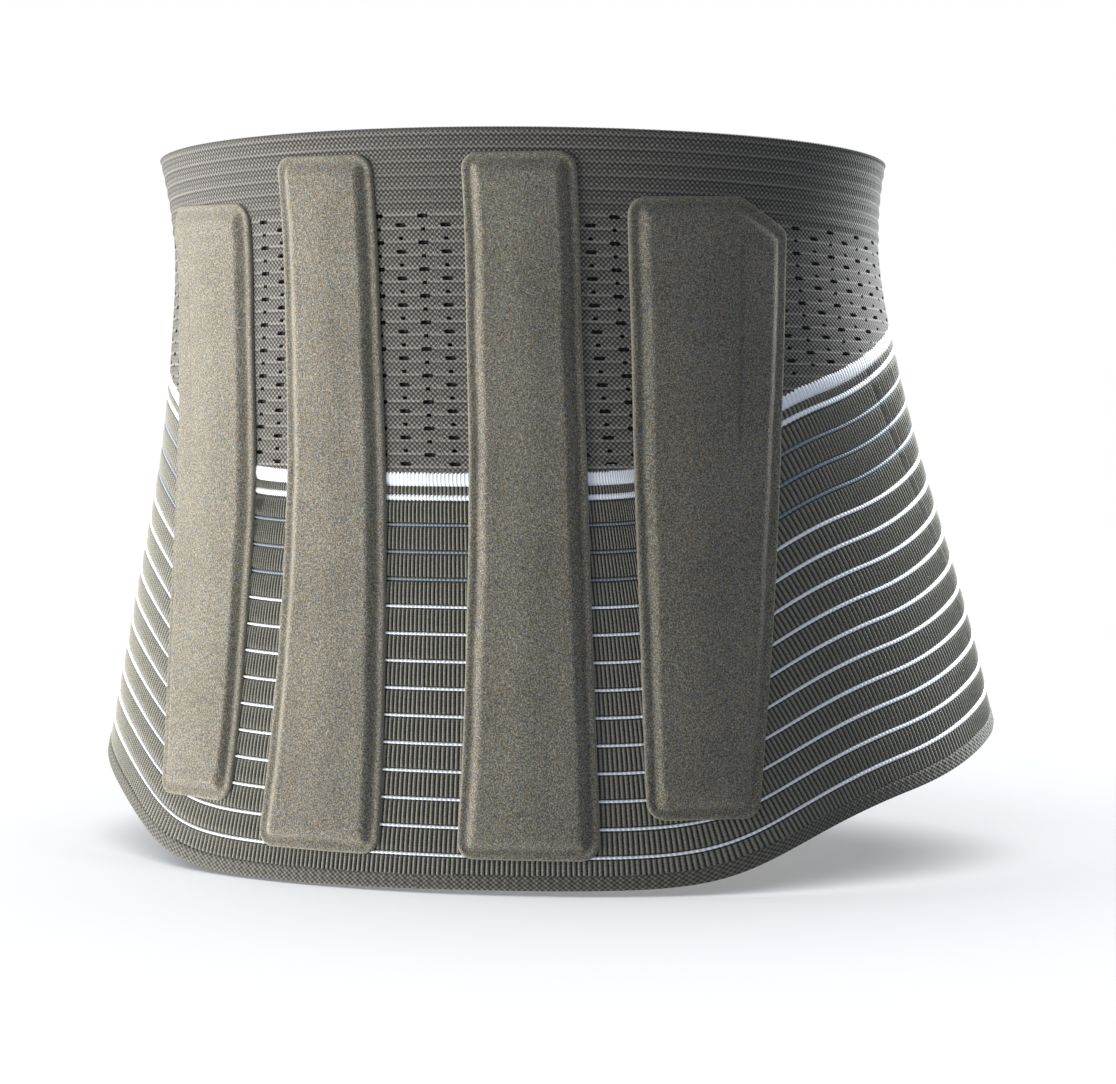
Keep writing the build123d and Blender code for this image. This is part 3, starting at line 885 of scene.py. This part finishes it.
def edge_bands(side):
    """The hem along the lower edge, and the rolled top edge."""
    rows, out_rows = HEM_SECTION[:, :1], HEM_SECTION[:, 1:]
    every_angle = RIBS.at(np.zeros(1))[0]
    for (segment, *_), part in zip(SEGMENTS, RIBS.parts):
        angles, lengths = every_angle[part][::2], RIBS.lengths[part][::2]
        t = np.broadcast_to(angles, (len(rows), len(angles)))
        t = to_root(t, edge(t, side, False), side)
        z = edge(t, side, False) + np.maximum(rows, 0)
        zigzag = 0.12 * np.sin(lengths * WHOLE_TURN / HEM_ZIGZAG)
        out = out_rows + zigzag * ((rows > 1) & (rows < 5))
        inner = surface(side * t, z, -KNIT + 0.3 * (rows < 0.3))
        band_piece("hem", segment, side, surface(side * t, z, out), inner, "hem", stack(lengths, rows),
                   faces_within(t, z, -1, TOP, side))
        # A soft roll over the top edge.
        turn = np.linspace(-math.pi / 2, math.pi * 1.5, 9)[:, None]
        t = np.broadcast_to(angles, (len(turn), len(angles)))
        t = to_root(t, edge(t, side, True), side)
        z = edge(t, side, True) - ROLL + ROLL * np.sin(turn)
        ring = surface(side * t, z, -0.75 + 1.15 * np.cos(turn))
        band_piece("top_roll", segment, side, ring, None, "mesh", stack(lengths, TOP + turn),
                   faces_within(t, z, -1, TOP + 1, side))


for side in (RIGHT, LEFT):
    ribbed_band(side)
    inlay_cords("inlay_cords", "white", side, INLAY_COURSES[:-FAINT_INLAYS], 0.0)
    inlay_cords("upper_inlay_cords", "faint", side, INLAY_COURSES[-FAINT_INLAYS:], -0.24)
    white_band("narrow_band", side, WHITE_BANDS[0], 4, 0.18)
    white_band("wide_band", side, WHITE_BANDS[1], 5, 0.24)
    perforated_band(side)
    inner_face(side)
    edge_bands(side)

for (kind, segment, side), (obj, (flat, area)) in SHEETS.items():
    extra = ON_RIBBED[segment, side] if kind == "ribbed_knit" else ()
    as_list(extra)
    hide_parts({"back": "knit_back", "side": f"knit_{NAMES[side]}_flank",
                      "front": f"knit_{NAMES[side]}_front"}[segment])


# ---------------------------------------------------------------- stay covers and backings
OUTER_TURN = math.radians(40)        # how far round the planes that the outer pads are drawn in face
PAD_CORNER = 6.0
FLANGE_TOP, RIDGE_TOP, SKIN = 1.2, 3.1, 1.05
EDGE_TOP = 0.12                      # how far out the very edge of a pad's flange starts
MARGIN = 2.9                         # flat margin before the soft rise to the middle
CROWN_RISE, CHANNEL_RISE = 4.2, 3.2  # widths of the rise from the margin, and of the one beside the stay
CHANNEL_CROWN = 0.3                  # how much higher the middle of the stay is
STAY_ROOM = 0.6
CREASE_WIDTH, CREASE_DEPTH = 1.1, 0.24
STAY_LINE = 152, 233                 # heights between which an outer pad shows its stay's edge
STAY_LINE_DIP = 0.22
# turn, inner edge, outer edge (bottom, middle, top, and a cut corner's end), stay width,
# bottom and top ends of the stay
PADS = {
    "centre": (0.0, ((15, 12), (16, 150), (17, 261)), ((66, 12), (57.7, 150), (57, 261)),
               20, (38.5, 23), (37.5, 251)),
    "outer": (OUTER_TURN, ((2, 26), (3.1, 150), (0.3, 245)),
              ((40.6, 26), (56, 150), (60.4, 232.6), (41, 245)), 26, (22, 40), (26.5, 229)),
}
LEFT_OUTER_TOP = (59.9, 239.5), (51.5, 245)      # its corner is cut off less


def long_edge(points, shift):
    """Gentle curve through an edge's bottom, middle and top, moved sideways."""
    x, z = np.array(points[:3], float).T
    heights = np.linspace(z[0], z[2], 20)
    return stack(np.polyval(np.polyfit(z, x, 2), heights) + shift, heights)


def round_corner(before, corner, after):
    """Arc that takes the place of a corner."""
    a, b = unit(before - corner), unit(after - corner)
    half = math.acos(float(np.clip(a @ b, -1, 1))) / 2
    middle = corner + unit(a + b) * PAD_CORNER / math.sin(half)
    start, end = (corner + arm * PAD_CORNER / math.tan(half) - middle for arm in (a, b))
    turn = math.acos(float(np.clip(start @ end / PAD_CORNER**2, -1, 1)))
    share = np.linspace(0, 1, 10)[:, None]
    return middle + (np.sin((1 - share) * turn) * start + np.sin(share * turn) * end) / math.sin(turn)


def pad_sides(inner_edge, outer_edge, shrink=0.0):
    """The pad's two sides from the bottom up, each starting and ending on its short edges."""
    sides = []
    bottom, top = inner_edge[0][1] + shrink, inner_edge[2][1] - shrink
    for points, inward in ((inner_edge, 1), (outer_edge, -1)):
        line = long_edge(points, inward * shrink)
        line[:, 1] = np.clip(line[:, 1], bottom, top)
        far = np.array((inward * 20.0, 0))
        corners = [line[-1]]
        if len(points) == 4:
            corners.append(np.array(points[3]) + (inward * shrink, -shrink))
        corners.append(corners[-1] + far)
        parts = [round_corner(line[0] + far, line[0], line[1]), line[1:-1]]
        for before, corner, after in zip([line[-2], *corners], corners, corners[1:]):
            parts.append(round_corner(before, corner, after))
        sides.append(np.concatenate(parts))
    return sides


def distance_to(points, line):
    """Distance of points from a polyline."""
    best = np.full(points.shape[:-1], 1e9)
    for start, step in zip(line[:-1], np.diff(line, axis=0)):
        share = np.clip(((points - start) @ step) / max(step @ step, 1e-9), 0, 1)
        best = np.minimum(best, np.linalg.norm(points - start - share[..., None] * step, axis=-1))
    return best


def pad_grid(sides, row_step, column_step, rim):
    """Points across the pad as rows from the bottom up, and their distances from its outline."""
    left, right = sides
    low, high = left[0, 1], left[-1, 1]
    ends = np.array((0, 0.12, 0.4, 0.85, 1.4, 2.1, 3, 4, 5))
    rows = np.concatenate((low + ends, np.arange(low + 6, high - 5.5, row_step), (high - ends)[::-1]))
    x0, x1 = (np.interp(rows, line[:, 1], line[:, 0]) for line in sides)
    x0[0], x0[-1], x1[0], x1[-1] = left[0, 0], left[-1, 0], right[0, 0], right[-1, 0]
    width = (x1 - x0).max()
    rim = np.array(rim) / width
    share = np.concatenate((rim, np.arange(2.4, width - 2, column_step) / width, 1 - rim[::-1]))
    points = stack(x0[:, None] + (x1 - x0)[:, None] * share, rows[:, None])
    return points, distance_to(points, np.concatenate((left, right[::-1], left[:1])))


def ripple(x, z, seed):
    """Small uneven relief, the same each run."""
    total = 0
    for k in range(5):
        wave = seed * 1.7 + k * 2.3
        kx, kz = 0.11 * (1 + math.sin(wave)), 0.05 * (1.2 + math.cos(wave * 1.3))
        total = total + np.sin(kx * x + kz * z * (k + 1) + wave * 3.1) / (k + 1.5)
    return total / 2


def stay_distance(points, bottom, top, half_wide, past):
    """Distance outside the channel over the stay; negative inside it."""
    bottom, top = np.array(bottom, float), np.array(top, float)
    axis = unit(top - bottom)
    rel = points - (bottom + top) / 2
    up = np.abs(rel @ axis) - (np.linalg.norm(top - bottom) / 2 + past)
    across = np.abs(rel @ np.array((axis[1], -axis[0]))) - half_wide
    return np.hypot(np.maximum(up, 0), np.maximum(across, 0)) + np.minimum(np.maximum(up, across), 0)


def stay_cover(name, position, side, seed):
    """Pressed laminate pad: a flat margin, a crease, and a soft crown over the stay."""
    turn, inner_edge, outer_edge, stay_width, bottom, top = PADS[position]
    if side == LEFT and position == "outer":
        outer_edge = (*outer_edge[:2], *LEFT_OUTER_TOP)
    points, from_edge = pad_grid(pad_sides(inner_edge, outer_edge), 1.5, 0.75, (0, 0.1, 0.3, 0.65, 1.1, 1.7))
    x, z = points[..., 0], points[..., 1]
    channel = stay_distance(points, bottom, top, stay_width / 2 + STAY_ROOM, CHANNEL_RISE)
    uneven = ripple(x, z, seed)
    margin = MARGIN + 0.5 * uneven
    lifted = np.maximum(smoothstep((from_edge - margin) / CROWN_RISE), smoothstep(1 - channel / CHANNEL_RISE))
    crease = bell(from_edge - margin - 0.2, CREASE_WIDTH) * (0.75 + 0.25 * uneven)
    if position == "outer":
        # The stay shows through as a line along its outer edge, in the upper half.
        line = x - np.interp(z, (bottom[1], top[1]), (bottom[0], top[0])) - stay_width / 2 - 1.5
        shown = smoothstep((z - STAY_LINE[0]) / 10) * smoothstep((STAY_LINE[1] - z) / 4)
        lifted = lifted - STAY_LINE_DIP * smoothstep((line + 1) / 2) * shown
        crease = np.maximum(crease * (1 - 0.5 * (line > 0)), bell(line, 0.8) * shown)
    out = EDGE_TOP + (FLANGE_TOP - EDGE_TOP) * (0.25 + 0.75 * rounded(from_edge / 0.9))
    # A slight bead near the edge, the crown and its crease, some unevenness, and the stay under it all.
    out += 0.12 * bell(from_edge - 1.3, 1.0)
    out += (RIDGE_TOP - FLANGE_TOP) * lifted - CREASE_DEPTH * crease
    out += 0.12 * uneven * smoothstep(from_edge / 3)
    out += CHANNEL_CROWN * smoothstep(-channel / (stay_width / 2))
    t = side * pad_angle(x, z, turn)
    # The crease values also darken the suede there, as painted shade.
    obj = shell(name, surface(t, z, out), surface(t, z, np.maximum(out - SKIN, 0.1)), FINISH["suede"], points,
                values={"crease": crease, "rim": bell(from_edge, 0.55)}, flip=side < 0)
    placed(obj, "cover", "back", name)


def backing(name, position, side):
    """Soft strip inside the knit, behind a pad."""
    turn, inner_edge, outer_edge, *_ = PADS[position]
    points, from_edge = pad_grid(pad_sides(inner_edge, outer_edge, 3.0), 4.0, 2.0, (0, 0.25, 0.8, 1.5))
    z = points[..., 1]
    t = side * pad_angle(points[..., 0], z, turn)
    inner_out = -1.95 - 0.6 * rounded(from_edge / 0.8)
    obj = shell(name, surface(t, z, -1.9), surface(t, z, inner_out), FINISH["backing"], points, flip=side < 0,
                sharp=50)
    placed(obj, "backing", "back", name)
    flat, area = flat_size(np.dstack((points, np.zeros(z.shape))))


def placed(obj, slot, body, node):
    """Make a piece ride on its body, and hide the CAD node that it stands for; the slot is not used."""
    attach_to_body(obj, body)
    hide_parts(node)


for seed, (position, side) in enumerate(((p, s) for p in PADS for s in (RIGHT, LEFT))):
    piece = f"{NAMES[side]}_{position}"
    stay_cover(f"{piece}_stay_cover", position, side, seed)
    backing(f"{piece}_backing", position, side)
    # The stays and their tips stay as they are in the CAD, with better materials.
    for part, finish in (("stay", "stay" if position == "centre" else "stay_plastic"),
                         ("stay_top_tip", "tip"), ("stay_bottom_tip", "tip")):
        for material_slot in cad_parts[f"{piece}_{part}"].material_slots:
            material_slot.material = FINISH[finish]


# ---------------------------------------------------------------- closing tongues
END_HALF, END_RADIUS = 60.0, 32.0    # half the height of a tongue at its end, and its corners
PANEL = -1.75, 0.0                   # inner and outer face of each layer, from the belt's surface
LINING = -2.62, -1.9
LAID = 0.12                          # gap under what lies on a panel
TAPE = LAID, 0.7
HOOKS = -3.58, -2.77
PILE = LAID, 0.9
ROOT_SEAMS = -5.6, 5.6               # their distances from the root
QUILT_PITCH = 9.4
TAPE_COLUMNS = np.array((-8, -7.7, -6, -3, 0, 3, 6, 7.7, 8))    # across the root seam tape
STITCH_RADIUS = 0.24
BINDING_SEAM = 4.2                   # its distance from the tongue's outline
WEBBING_WIDTH, WEBBING = 25.0, 1.3
LOOP_STEP = 0.55
# The finger loop's arch: heights of its ends and middle, and how far out of the cloth's middle they are.
ARCH = ((3.5, 118.0), (15.0, 150.0), (-3.5, 182.0))
LOW_TAB, HIGH_TAB = (104.0, 116.5), (183.5, 196.0)
BOX_SEAM = 20, 9                     # stitched on each tab, with a diagonal
# Section of the folded binding, as a loop: how far inward of the outline, and how far out.
BINDING_SECTION = np.array((
    (5.5, 0.15), (5.55, 0.5), (5.2, 0.68), (3.5, 0.72), (1.5, 0.72), (0.2, 0.66), (-0.7, 0.35), (-1.2, -0.3),
    (-1.35, -1.35), (-1.2, -2.4), (-0.7, -3.0), (0.2, -3.25), (2.0, -3.32), (3.8, -3.32), (5.3, -3.28),
    (5.55, -3.1), (5.5, -2.8), (2.5, -2.76), (0.35, -2.74), (-0.15, -2.0), (-0.3, -1.35), (-0.15, -0.6),
    (0.35, 0.13), (2.5, 0.14), (5.5, 0.15),
))
BINDING_MID = -1.33


def corner_places(radius, count):
    """Distances from an edge across a round corner, closer together near the edge."""
    return radius * (1 - np.cos(np.linspace(0, math.pi / 2, count)))


class Tongue:
    """A closing tongue: its outline in front view, and pieces that lie on it."""

    def __init__(self, side, end, lift, loop):
        self.side, self.end, self.lift, self.loop = side, end, lift, loop
        self.name, self.body = NAMES[side], f"{NAMES[side]}_front"
        self.root, self.half = side * ROOTS[side], ROOT_HALF[side]
        self.length = abs(self.root - end)

    def surface(self, x, z, out):
        return front_surface(x, z, out, self.lift)

    def outward(self, x, z):
        """Unit normals of the belt's front at places of a front view."""
        dx = self.surface(x + 0.5, z, 0) - self.surface(x - 0.5, z, 0)
        dz = self.surface(x, z + 0.5, 0) - self.surface(x, z - 0.5, 0)
        normal = np.cross(dz, dx)
        return unit(normal * np.sign(normal[..., 1:2]))

    def half_at(self, from_end):
        """Half the tongue's height at a distance from its end."""
        straight = END_HALF + (self.half - END_HALF) * np.clip(from_end / self.length, 0, 1)
        near = np.clip(END_RADIUS - from_end, 0, END_RADIUS)
        return straight - END_RADIUS + np.sqrt(END_RADIUS**2 - near**2)

    def grid(self, rows, columns, shrink=0.0):
        straight = np.linspace(END_RADIUS, self.length, rows)
        from_end = np.concatenate((corner_places(END_RADIUS, 14)[:-1], straight))
        half = self.half_at(from_end) - shrink
        x = self.end + self.side * np.maximum(from_end, shrink)
        return x[:, None], TONGUE_MID + half[:, None] * np.linspace(-1, 1, columns)

    def outline(self, step, near_root):
        """Points along the tongue's edge from the root's bottom round to its top, and inward normals."""
        length = self.length - near_root
        from_end = np.concatenate((np.linspace(length, END_RADIUS, int(length / step)),
                                   corner_places(END_RADIUS, 16)[::-1][1:]))
        half = self.half_at(from_end)
        low = stack(self.end + self.side * from_end, TONGUE_MID - half)
        flat = np.linspace(-1, 1, int(2 * half[-1] / step))[1:-1, None] * (0, half[-1])
        high = (low * (1, -1) + (0, 2 * TONGUE_MID))[::-1]
        line = np.concatenate((low, flat + (self.end, TONGUE_MID), high))
        along = unit(np.gradient(line, axis=0))
        normal = along[:, ::-1] * (1, -1)
        centre = np.array(((self.root + self.end) / 2, TONGUE_MID))
        return line, normal * np.sign(((centre - line) * normal).sum(1))[:, None]

    def patch(self, name, x, z, layer, finish, dome=0.0):
        """Piece of cloth lying on the tongue, with rounded edges."""
        low, high = layer
        x, z = np.broadcast_arrays(x, z)
        rim = np.ones(x.shape)
        rim[[0, -1]] = rim[:, [0, -1]] = 0
        out = high - (high - low) * 0.45 * (1 - rim) + dome
        obj = shell(name, self.surface(x, z, out), self.surface(x, z, low), FINISH[finish], stack(x, z))
        faces_out(obj)
        placed(obj, finish, self.body, name)
        return obj

    def stitches(self, name, line, out, length=2.3, pitch=3.1):
        """A row of stitches along a line of the front view, standing on the cloth by its normals."""
        path, up = self.surface(*line.T, out), self.outward(*line.T)
        run = run_along(path)
        share = np.linspace(0, 1, 6)
        thick = STITCH_RADIUS * np.sqrt(np.clip(1 - (2 * share - 1) ** 6, 0, 1))
        height = 0.12 * np.sin(share * math.pi) - 0.05
        profile = np.linspace(0, WHOLE_TURN, 7)
        rings, uvs = [], []
        for start in np.arange(pitch / 2, run[-1] - length, pitch):
            at = start + share * length
            centre, normal = (stack(*(np.interp(at, run, column) for column in values.T))
                              for values in (path, up))
            normal = unit(normal)
            across = np.cross(unit(np.gradient(centre, axis=0)), normal)
            ring = np.cos(profile)[:, None] * across[:, None] + np.sin(profile)[:, None] * normal[:, None]
            rings.append((centre + normal * height[:, None])[:, None] + thick[:, None, None] * ring)
            uvs.append(stack(at[:, None], profile))
        grid = np.concatenate(rings)
        keep = np.ones((len(grid) - 1, len(profile) - 1), bool)
        keep[len(share) - 1::len(share)] = False
        obj = shell(name, grid, None, FINISH["thread"], np.concatenate(uvs), keep)
        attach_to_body(obj, self.body)
        return obj


TONGUES = {
    RIGHT: Tongue(RIGHT, end=-45.0, lift=OVERLAP_RISE, loop=-18.0),
    LEFT: Tongue(LEFT, end=40.0, lift=0.0, loop=-68.0),
}


def rounded_rectangle(cx, width, height, corner=6.0, rows=24, columns=18):
    """Grid over a rounded rectangle about the tongues' centre line."""
    bend = corner_places(corner, 7)
    z = np.concatenate((bend[:-1], np.linspace(corner, height - corner, rows), height - bend[::-1][1:]))
    inset = corner - np.sqrt(corner**2 - np.clip(corner - np.minimum(z, height - z), 0, corner) ** 2)
    x = cx + (width / 2 - inset)[:, None] * np.linspace(-1, 1, columns)
    return x, (TONGUE_MID - height / 2 + z)[:, None]


def rectangle_line(cx, cz, width, height, step=1.5):
    """Closed line round a rectangle."""
    corners = np.array(((-1, -1), (1, -1), (1, 1), (-1, 1), (-1, -1))) * (width / 2, height / 2)
    parts = []
    for a, b in zip(corners[:-1], corners[1:]):
        count = max(3, int(np.linalg.norm(b - a) / step))
        parts.append(a + (b - a) * np.linspace(0, 1, count)[:, None])
    return np.concatenate(parts) + (cx, cz)


def edge_binding(tongue, line, normal):
    """Tape folded round the tongue's edge, slightly wrinkled."""
    inward, out = BINDING_SECTION[:, :1], BINDING_SECTION[:, 1:]
    place = line + inward[..., None] * normal
    run = run_along(line)
    wrinkle = 1 + 0.04 * np.sin(run * 1.3) + 0.03 * np.sin(run * 0.7 + 1)
    grid = tongue.surface(place[..., 0], place[..., 1], BINDING_MID + (out - BINDING_MID) * wrinkle**0.5)
    name = f"{tongue.name}_tongue_edge_binding"
    obj = shell(name, grid, None, FINISH["binding"], stack(run, inward + out))
    faces_out(obj)
    placed(obj, "binding", tongue.body, name)
    return obj, run[-1]


def closing_tongue(tongue):
    """Panel, lining, folded binding and root seam tape, with their seams."""
    name, half = tongue.name, tongue.half
    x, z = tongue.grid(70, 90)
    quilt = 0.1 * np.cos(z * WHOLE_TURN / QUILT_PITCH) ** 2 - 0.1
    panel = tongue.patch(f"{name}_tongue_panel", x, z, PANEL, "tongue", quilt)
    lining = tongue.patch(f"{name}_tongue_lining", *tongue.grid(50, 60, 0.3), LINING, "lining")
    line, normal = tongue.outline(2.0, 6.0)
    binding, binding_length = edge_binding(tongue, line, normal)
    seam = line + BINDING_SEAM * normal
    seam_out = tongue.stitches(f"{name}_binding_stitches", seam, 0.78)
    seam_in = tongue.stitches(f"{name}_binding_inner_stitches", seam, -3.38)
    up = TONGUE_MID + half * np.linspace(-1, 1, 80)[:, None]
    tape = tongue.patch(f"{name}_root_seam_tape", tongue.root + TAPE_COLUMNS, up, TAPE, "binding")
    column = TONGUE_MID + (half - 2) * np.linspace(-1, 1, 90)
    seams = [tongue.stitches(f"{name}_root_stitches_{k}", stack(tongue.root + d, column), 0.76)
             for k, d in enumerate(ROOT_SEAMS)]


def loop_path(tongue):
    """Side view of the finger loop's inner face as y and z: a tab, an arch and a tab, in equal steps."""
    def cloth(z, out=LAID):
        return tongue.surface(tongue.loop, z, out)[..., 1]

    face = float(cloth(TONGUE_MID, 0))
    points = np.array(ARCH) + (face, 0)
    # Circle through the arch's ends and its middle.
    cy, cz, k = np.linalg.solve(np.concatenate((points, np.ones((3, 1))), 1), -(points**2).sum(1))
    centre = -np.array((cy, cz)) / 2
    radius = math.sqrt(centre @ centre - k)
    turn = np.linspace(*(math.atan2(*(p - centre)[::-1]) for p in points[::2]), 60)
    arc = centre + radius * stack(np.cos(turn), np.sin(turn))
    low_tab, high_tab = (np.linspace(*ends, 14) for ends in (LOW_TAB, HIGH_TAB))
    path = np.concatenate((stack(cloth(low_tab), low_tab), arc[1:-1], stack(cloth(high_tab), high_tab)))
    # Soften the turns where the arch leaves the tabs.
    for _ in range(5):
        path[1:-1] = path[1:-1] * 0.5 + (path[2:] + path[:-2]) * 0.25
    path[:, 0] = np.maximum(path[:, 0], cloth(path[:, 1]))
    run = run_along(path)
    fine = np.arange(0, run[-1], LOOP_STEP)
    return fine, stack(*(np.interp(fine, run, column) for column in path.T))


def finger_loop(tongue):
    """Arch of ribbed webbing with a sewn tab at each end."""
    x0 = tongue.loop
    fine, path = loop_path(tongue)
    y, z = path[:, :1], path[:, 1:]
    along = unit(np.gradient(path, axis=0))
    half = WEBBING_WIDTH / 2
    across = np.linspace(-half, half, 61)
    edge_round = np.sqrt(np.clip(1 - (np.abs(across) / half) ** 16, 0, 1))
    weave = 0.09 * np.sin((np.abs(across) * 0.9 + fine[:, None]) * WHOLE_TURN / 2.2)
    # The tabs follow the tongue's curve; the arch is straight across.
    level = tongue.surface(x0, z, 0)[..., 1]
    sink = tongue.surface(x0 + across, z, 0)[..., 1] - level
    hold = np.clip(1 - (y - level - 0.1) / 4, 0, 1)
    faces = WEBBING * (0.5 + 0.5 * edge_round) + weave, WEBBING * (0.5 - 0.5 * edge_round)
    outer, inner = (stack(x0 + across, y + along[:, 1:] * out + sink * hold, z - along[:, :1] * out)
                    for out in faces)
    name = f"{tongue.name}_finger_loop"
    obj = shell(name, outer, inner, FINISH["webbing"], stack(across, fine[:, None]))
    faces_out(obj)
    placed(obj, "webbing", tongue.body, name)
    for k, cz in enumerate((110.2, 189.8)):
        cross = np.array((x0, cz)) + np.linspace(-0.5, 0.5, 24)[:, None] * BOX_SEAM
        for part, line in (("box", rectangle_line(x0, cz, *BOX_SEAM, 1.0)), ("cross", cross)):
            tongue.stitches(f"{tongue.name}_loop_{part}_stitches_{k}", line, WEBBING + 0.2,
                                         length=2.0, pitch=2.7)


def fastener(tongue, name, seam_name, middle, size, layer, finish, seam_inset, seam_out):
    """Sewn patch of hooks or of loop pile."""
    width, height = size
    patch = tongue.patch(name, *rounded_rectangle(middle, width, height), layer, finish)
    line = rectangle_line(middle, TONGUE_MID, width - seam_inset, height - seam_inset)
    seam = tongue.stitches(seam_name, line, seam_out)


for tongue in TONGUES.values():
    closing_tongue(tongue)
    finger_loop(tongue)
fastener(TONGUES[RIGHT], "hook_patch", "hook_patch_stitches", -4, (56, 92), HOOKS, "hook", 7, -3.62)
fastener(TONGUES[LEFT], "loop_pile_panel", "pile_panel_stitches", -10, (70, 104), PILE, "pile", 6, 0.95)

# Care label inside the left flank.
LABEL_Y, LABEL_Z, LABEL_HALF = 22, 92, (16, 23)
ys, zs = np.meshgrid(LABEL_Y + LABEL_HALF[0] * np.linspace(-1, 1, 24),
                     LABEL_Z + LABEL_HALF[1] * np.linspace(-1, 1, 30))
back = BACK_DEPTH_RATIO * half_width(zs)
forward = ys - back_y(zs) - back
label_t = -(math.pi / 2 + np.arcsin(forward / np.where(forward > 0, front_depth(zs), back)))
inward_face = surface(label_t, zs, -2.28 + 0.05 * np.sin(ys * 0.5))
label = shell("care_label", inward_face, surface(label_t, zs, -1.92), FINISH["label"], stack(ys, zs))
faces_out(label)
placed(label, "label", "left_flank", "care_label")

# ---------------------------------------------------------------- floor, light and camera
CENTRE = np.array((0, -5, 135))
CAMERA_TURN, CAMERA_TILT, CAMERA_DISTANCE = math.radians(20.7), math.radians(3.3), 1346.0
CAMERA_ROLL = math.radians(0.5)
LENS, SENSOR = 114.0, 36.0
AIM_RIGHT, AIM_DOWN = 15.2, 18.3     # how far right of the centre and below it the camera aims
FLOOR = 12000                        # half its size
AMBIENT, AMBIENT_TINT = 0.41, (0.9, 0.98, 1.12, 1)


def aimed(obj, place, target):
    obj.location = Vector(place) * MM
    obj.rotation_euler = (Vector(target) - Vector(place)).to_track_quat("-Z", "Y").to_euler()
    bpy.context.scene.collection.objects.link(obj)


def sun(name, place, strength, angle, colour=(1, 1, 1), only=None, without=None):
    """Sun from a place toward the origin, that lights only one object, or all but one."""
    data = bpy.data.lights.new(name, "SUN")
    data.energy, data.angle, data.color = strength, math.radians(angle), colour
    obj = bpy.data.objects.new(name, data)
    aimed(obj, place, (0, 0, 0))
    group = bpy.data.collections.new(name)
    group.objects.link(only or without)
    obj.light_linking.receiver_collection = group
    if without is not None:
        group.collection_objects[0].light_linking.link_state = "EXCLUDE"
        obj.light_linking.blocker_collection = group


def studio():
    """White surroundings for the eye, dimmer as light, so that the key light keeps its shape."""
    s = Nodes(bpy.data.worlds.new("studio"), "Background")
    seen = s.node("ShaderNodeLightPath").outputs["Is Camera Ray"]
    brightness = s.node("ShaderNodeMapRange", {"Value": seen, "To Min": AMBIENT, "To Max": 1.0})
    s.set("Strength", brightness.outputs["Result"])
    s.set("Color", s.mix(seen, AMBIENT_TINT, (1, 1, 1, 1)))
    return s.owner


view_right = np.array((math.cos(CAMERA_TURN), math.sin(CAMERA_TURN), 0))
level = np.array((math.sin(CAMERA_TURN), -math.cos(CAMERA_TURN), 0))
up = np.array((0, 0, 1))
eye = CENTRE + CAMERA_DISTANCE * (level * math.cos(CAMERA_TILT) + up * math.sin(CAMERA_TILT))
camera_data = bpy.data.cameras.new("camera")
camera_data.lens, camera_data.sensor_width = LENS, SENSOR
camera_data.clip_start, camera_data.clip_end = 0.05, 30
camera = bpy.data.objects.new("camera", camera_data)
aimed(camera, eye, CENTRE + AIM_RIGHT * view_right - AIM_DOWN * up)
roll = Quaternion((0, 0, 1), -CAMERA_ROLL)
camera.rotation_euler = (camera.rotation_euler.to_quaternion() @ roll).to_euler()
scene = bpy.context.scene
scene.camera = camera
scene.world = studio()
scene.view_settings.view_transform = "Standard"

floor_shader = Shader("floor", rough=0.9, specular=0.1)
floor_shader.set("Base Color", srgb(235, 234, 234))
grid = np.array([[(x, y, -0.5) for x in (-FLOOR, FLOOR)] for y in (-FLOOR, FLOOR)])
floor = shell("floor", grid, grid - (0, 0, 5), floor_shader.owner)
floor.visible_diffuse = False

sun("key", (-1000, -250, -210), 10.6, 64, (1.0, 0.985, 0.955), without=floor)
sun("rim", (346, 742, 574), 14.0, 32, (0.95, 0.98, 1.0), without=floor)
sun("floor_light", (-150, -150, 1000), 2.9, 110, only=floor)
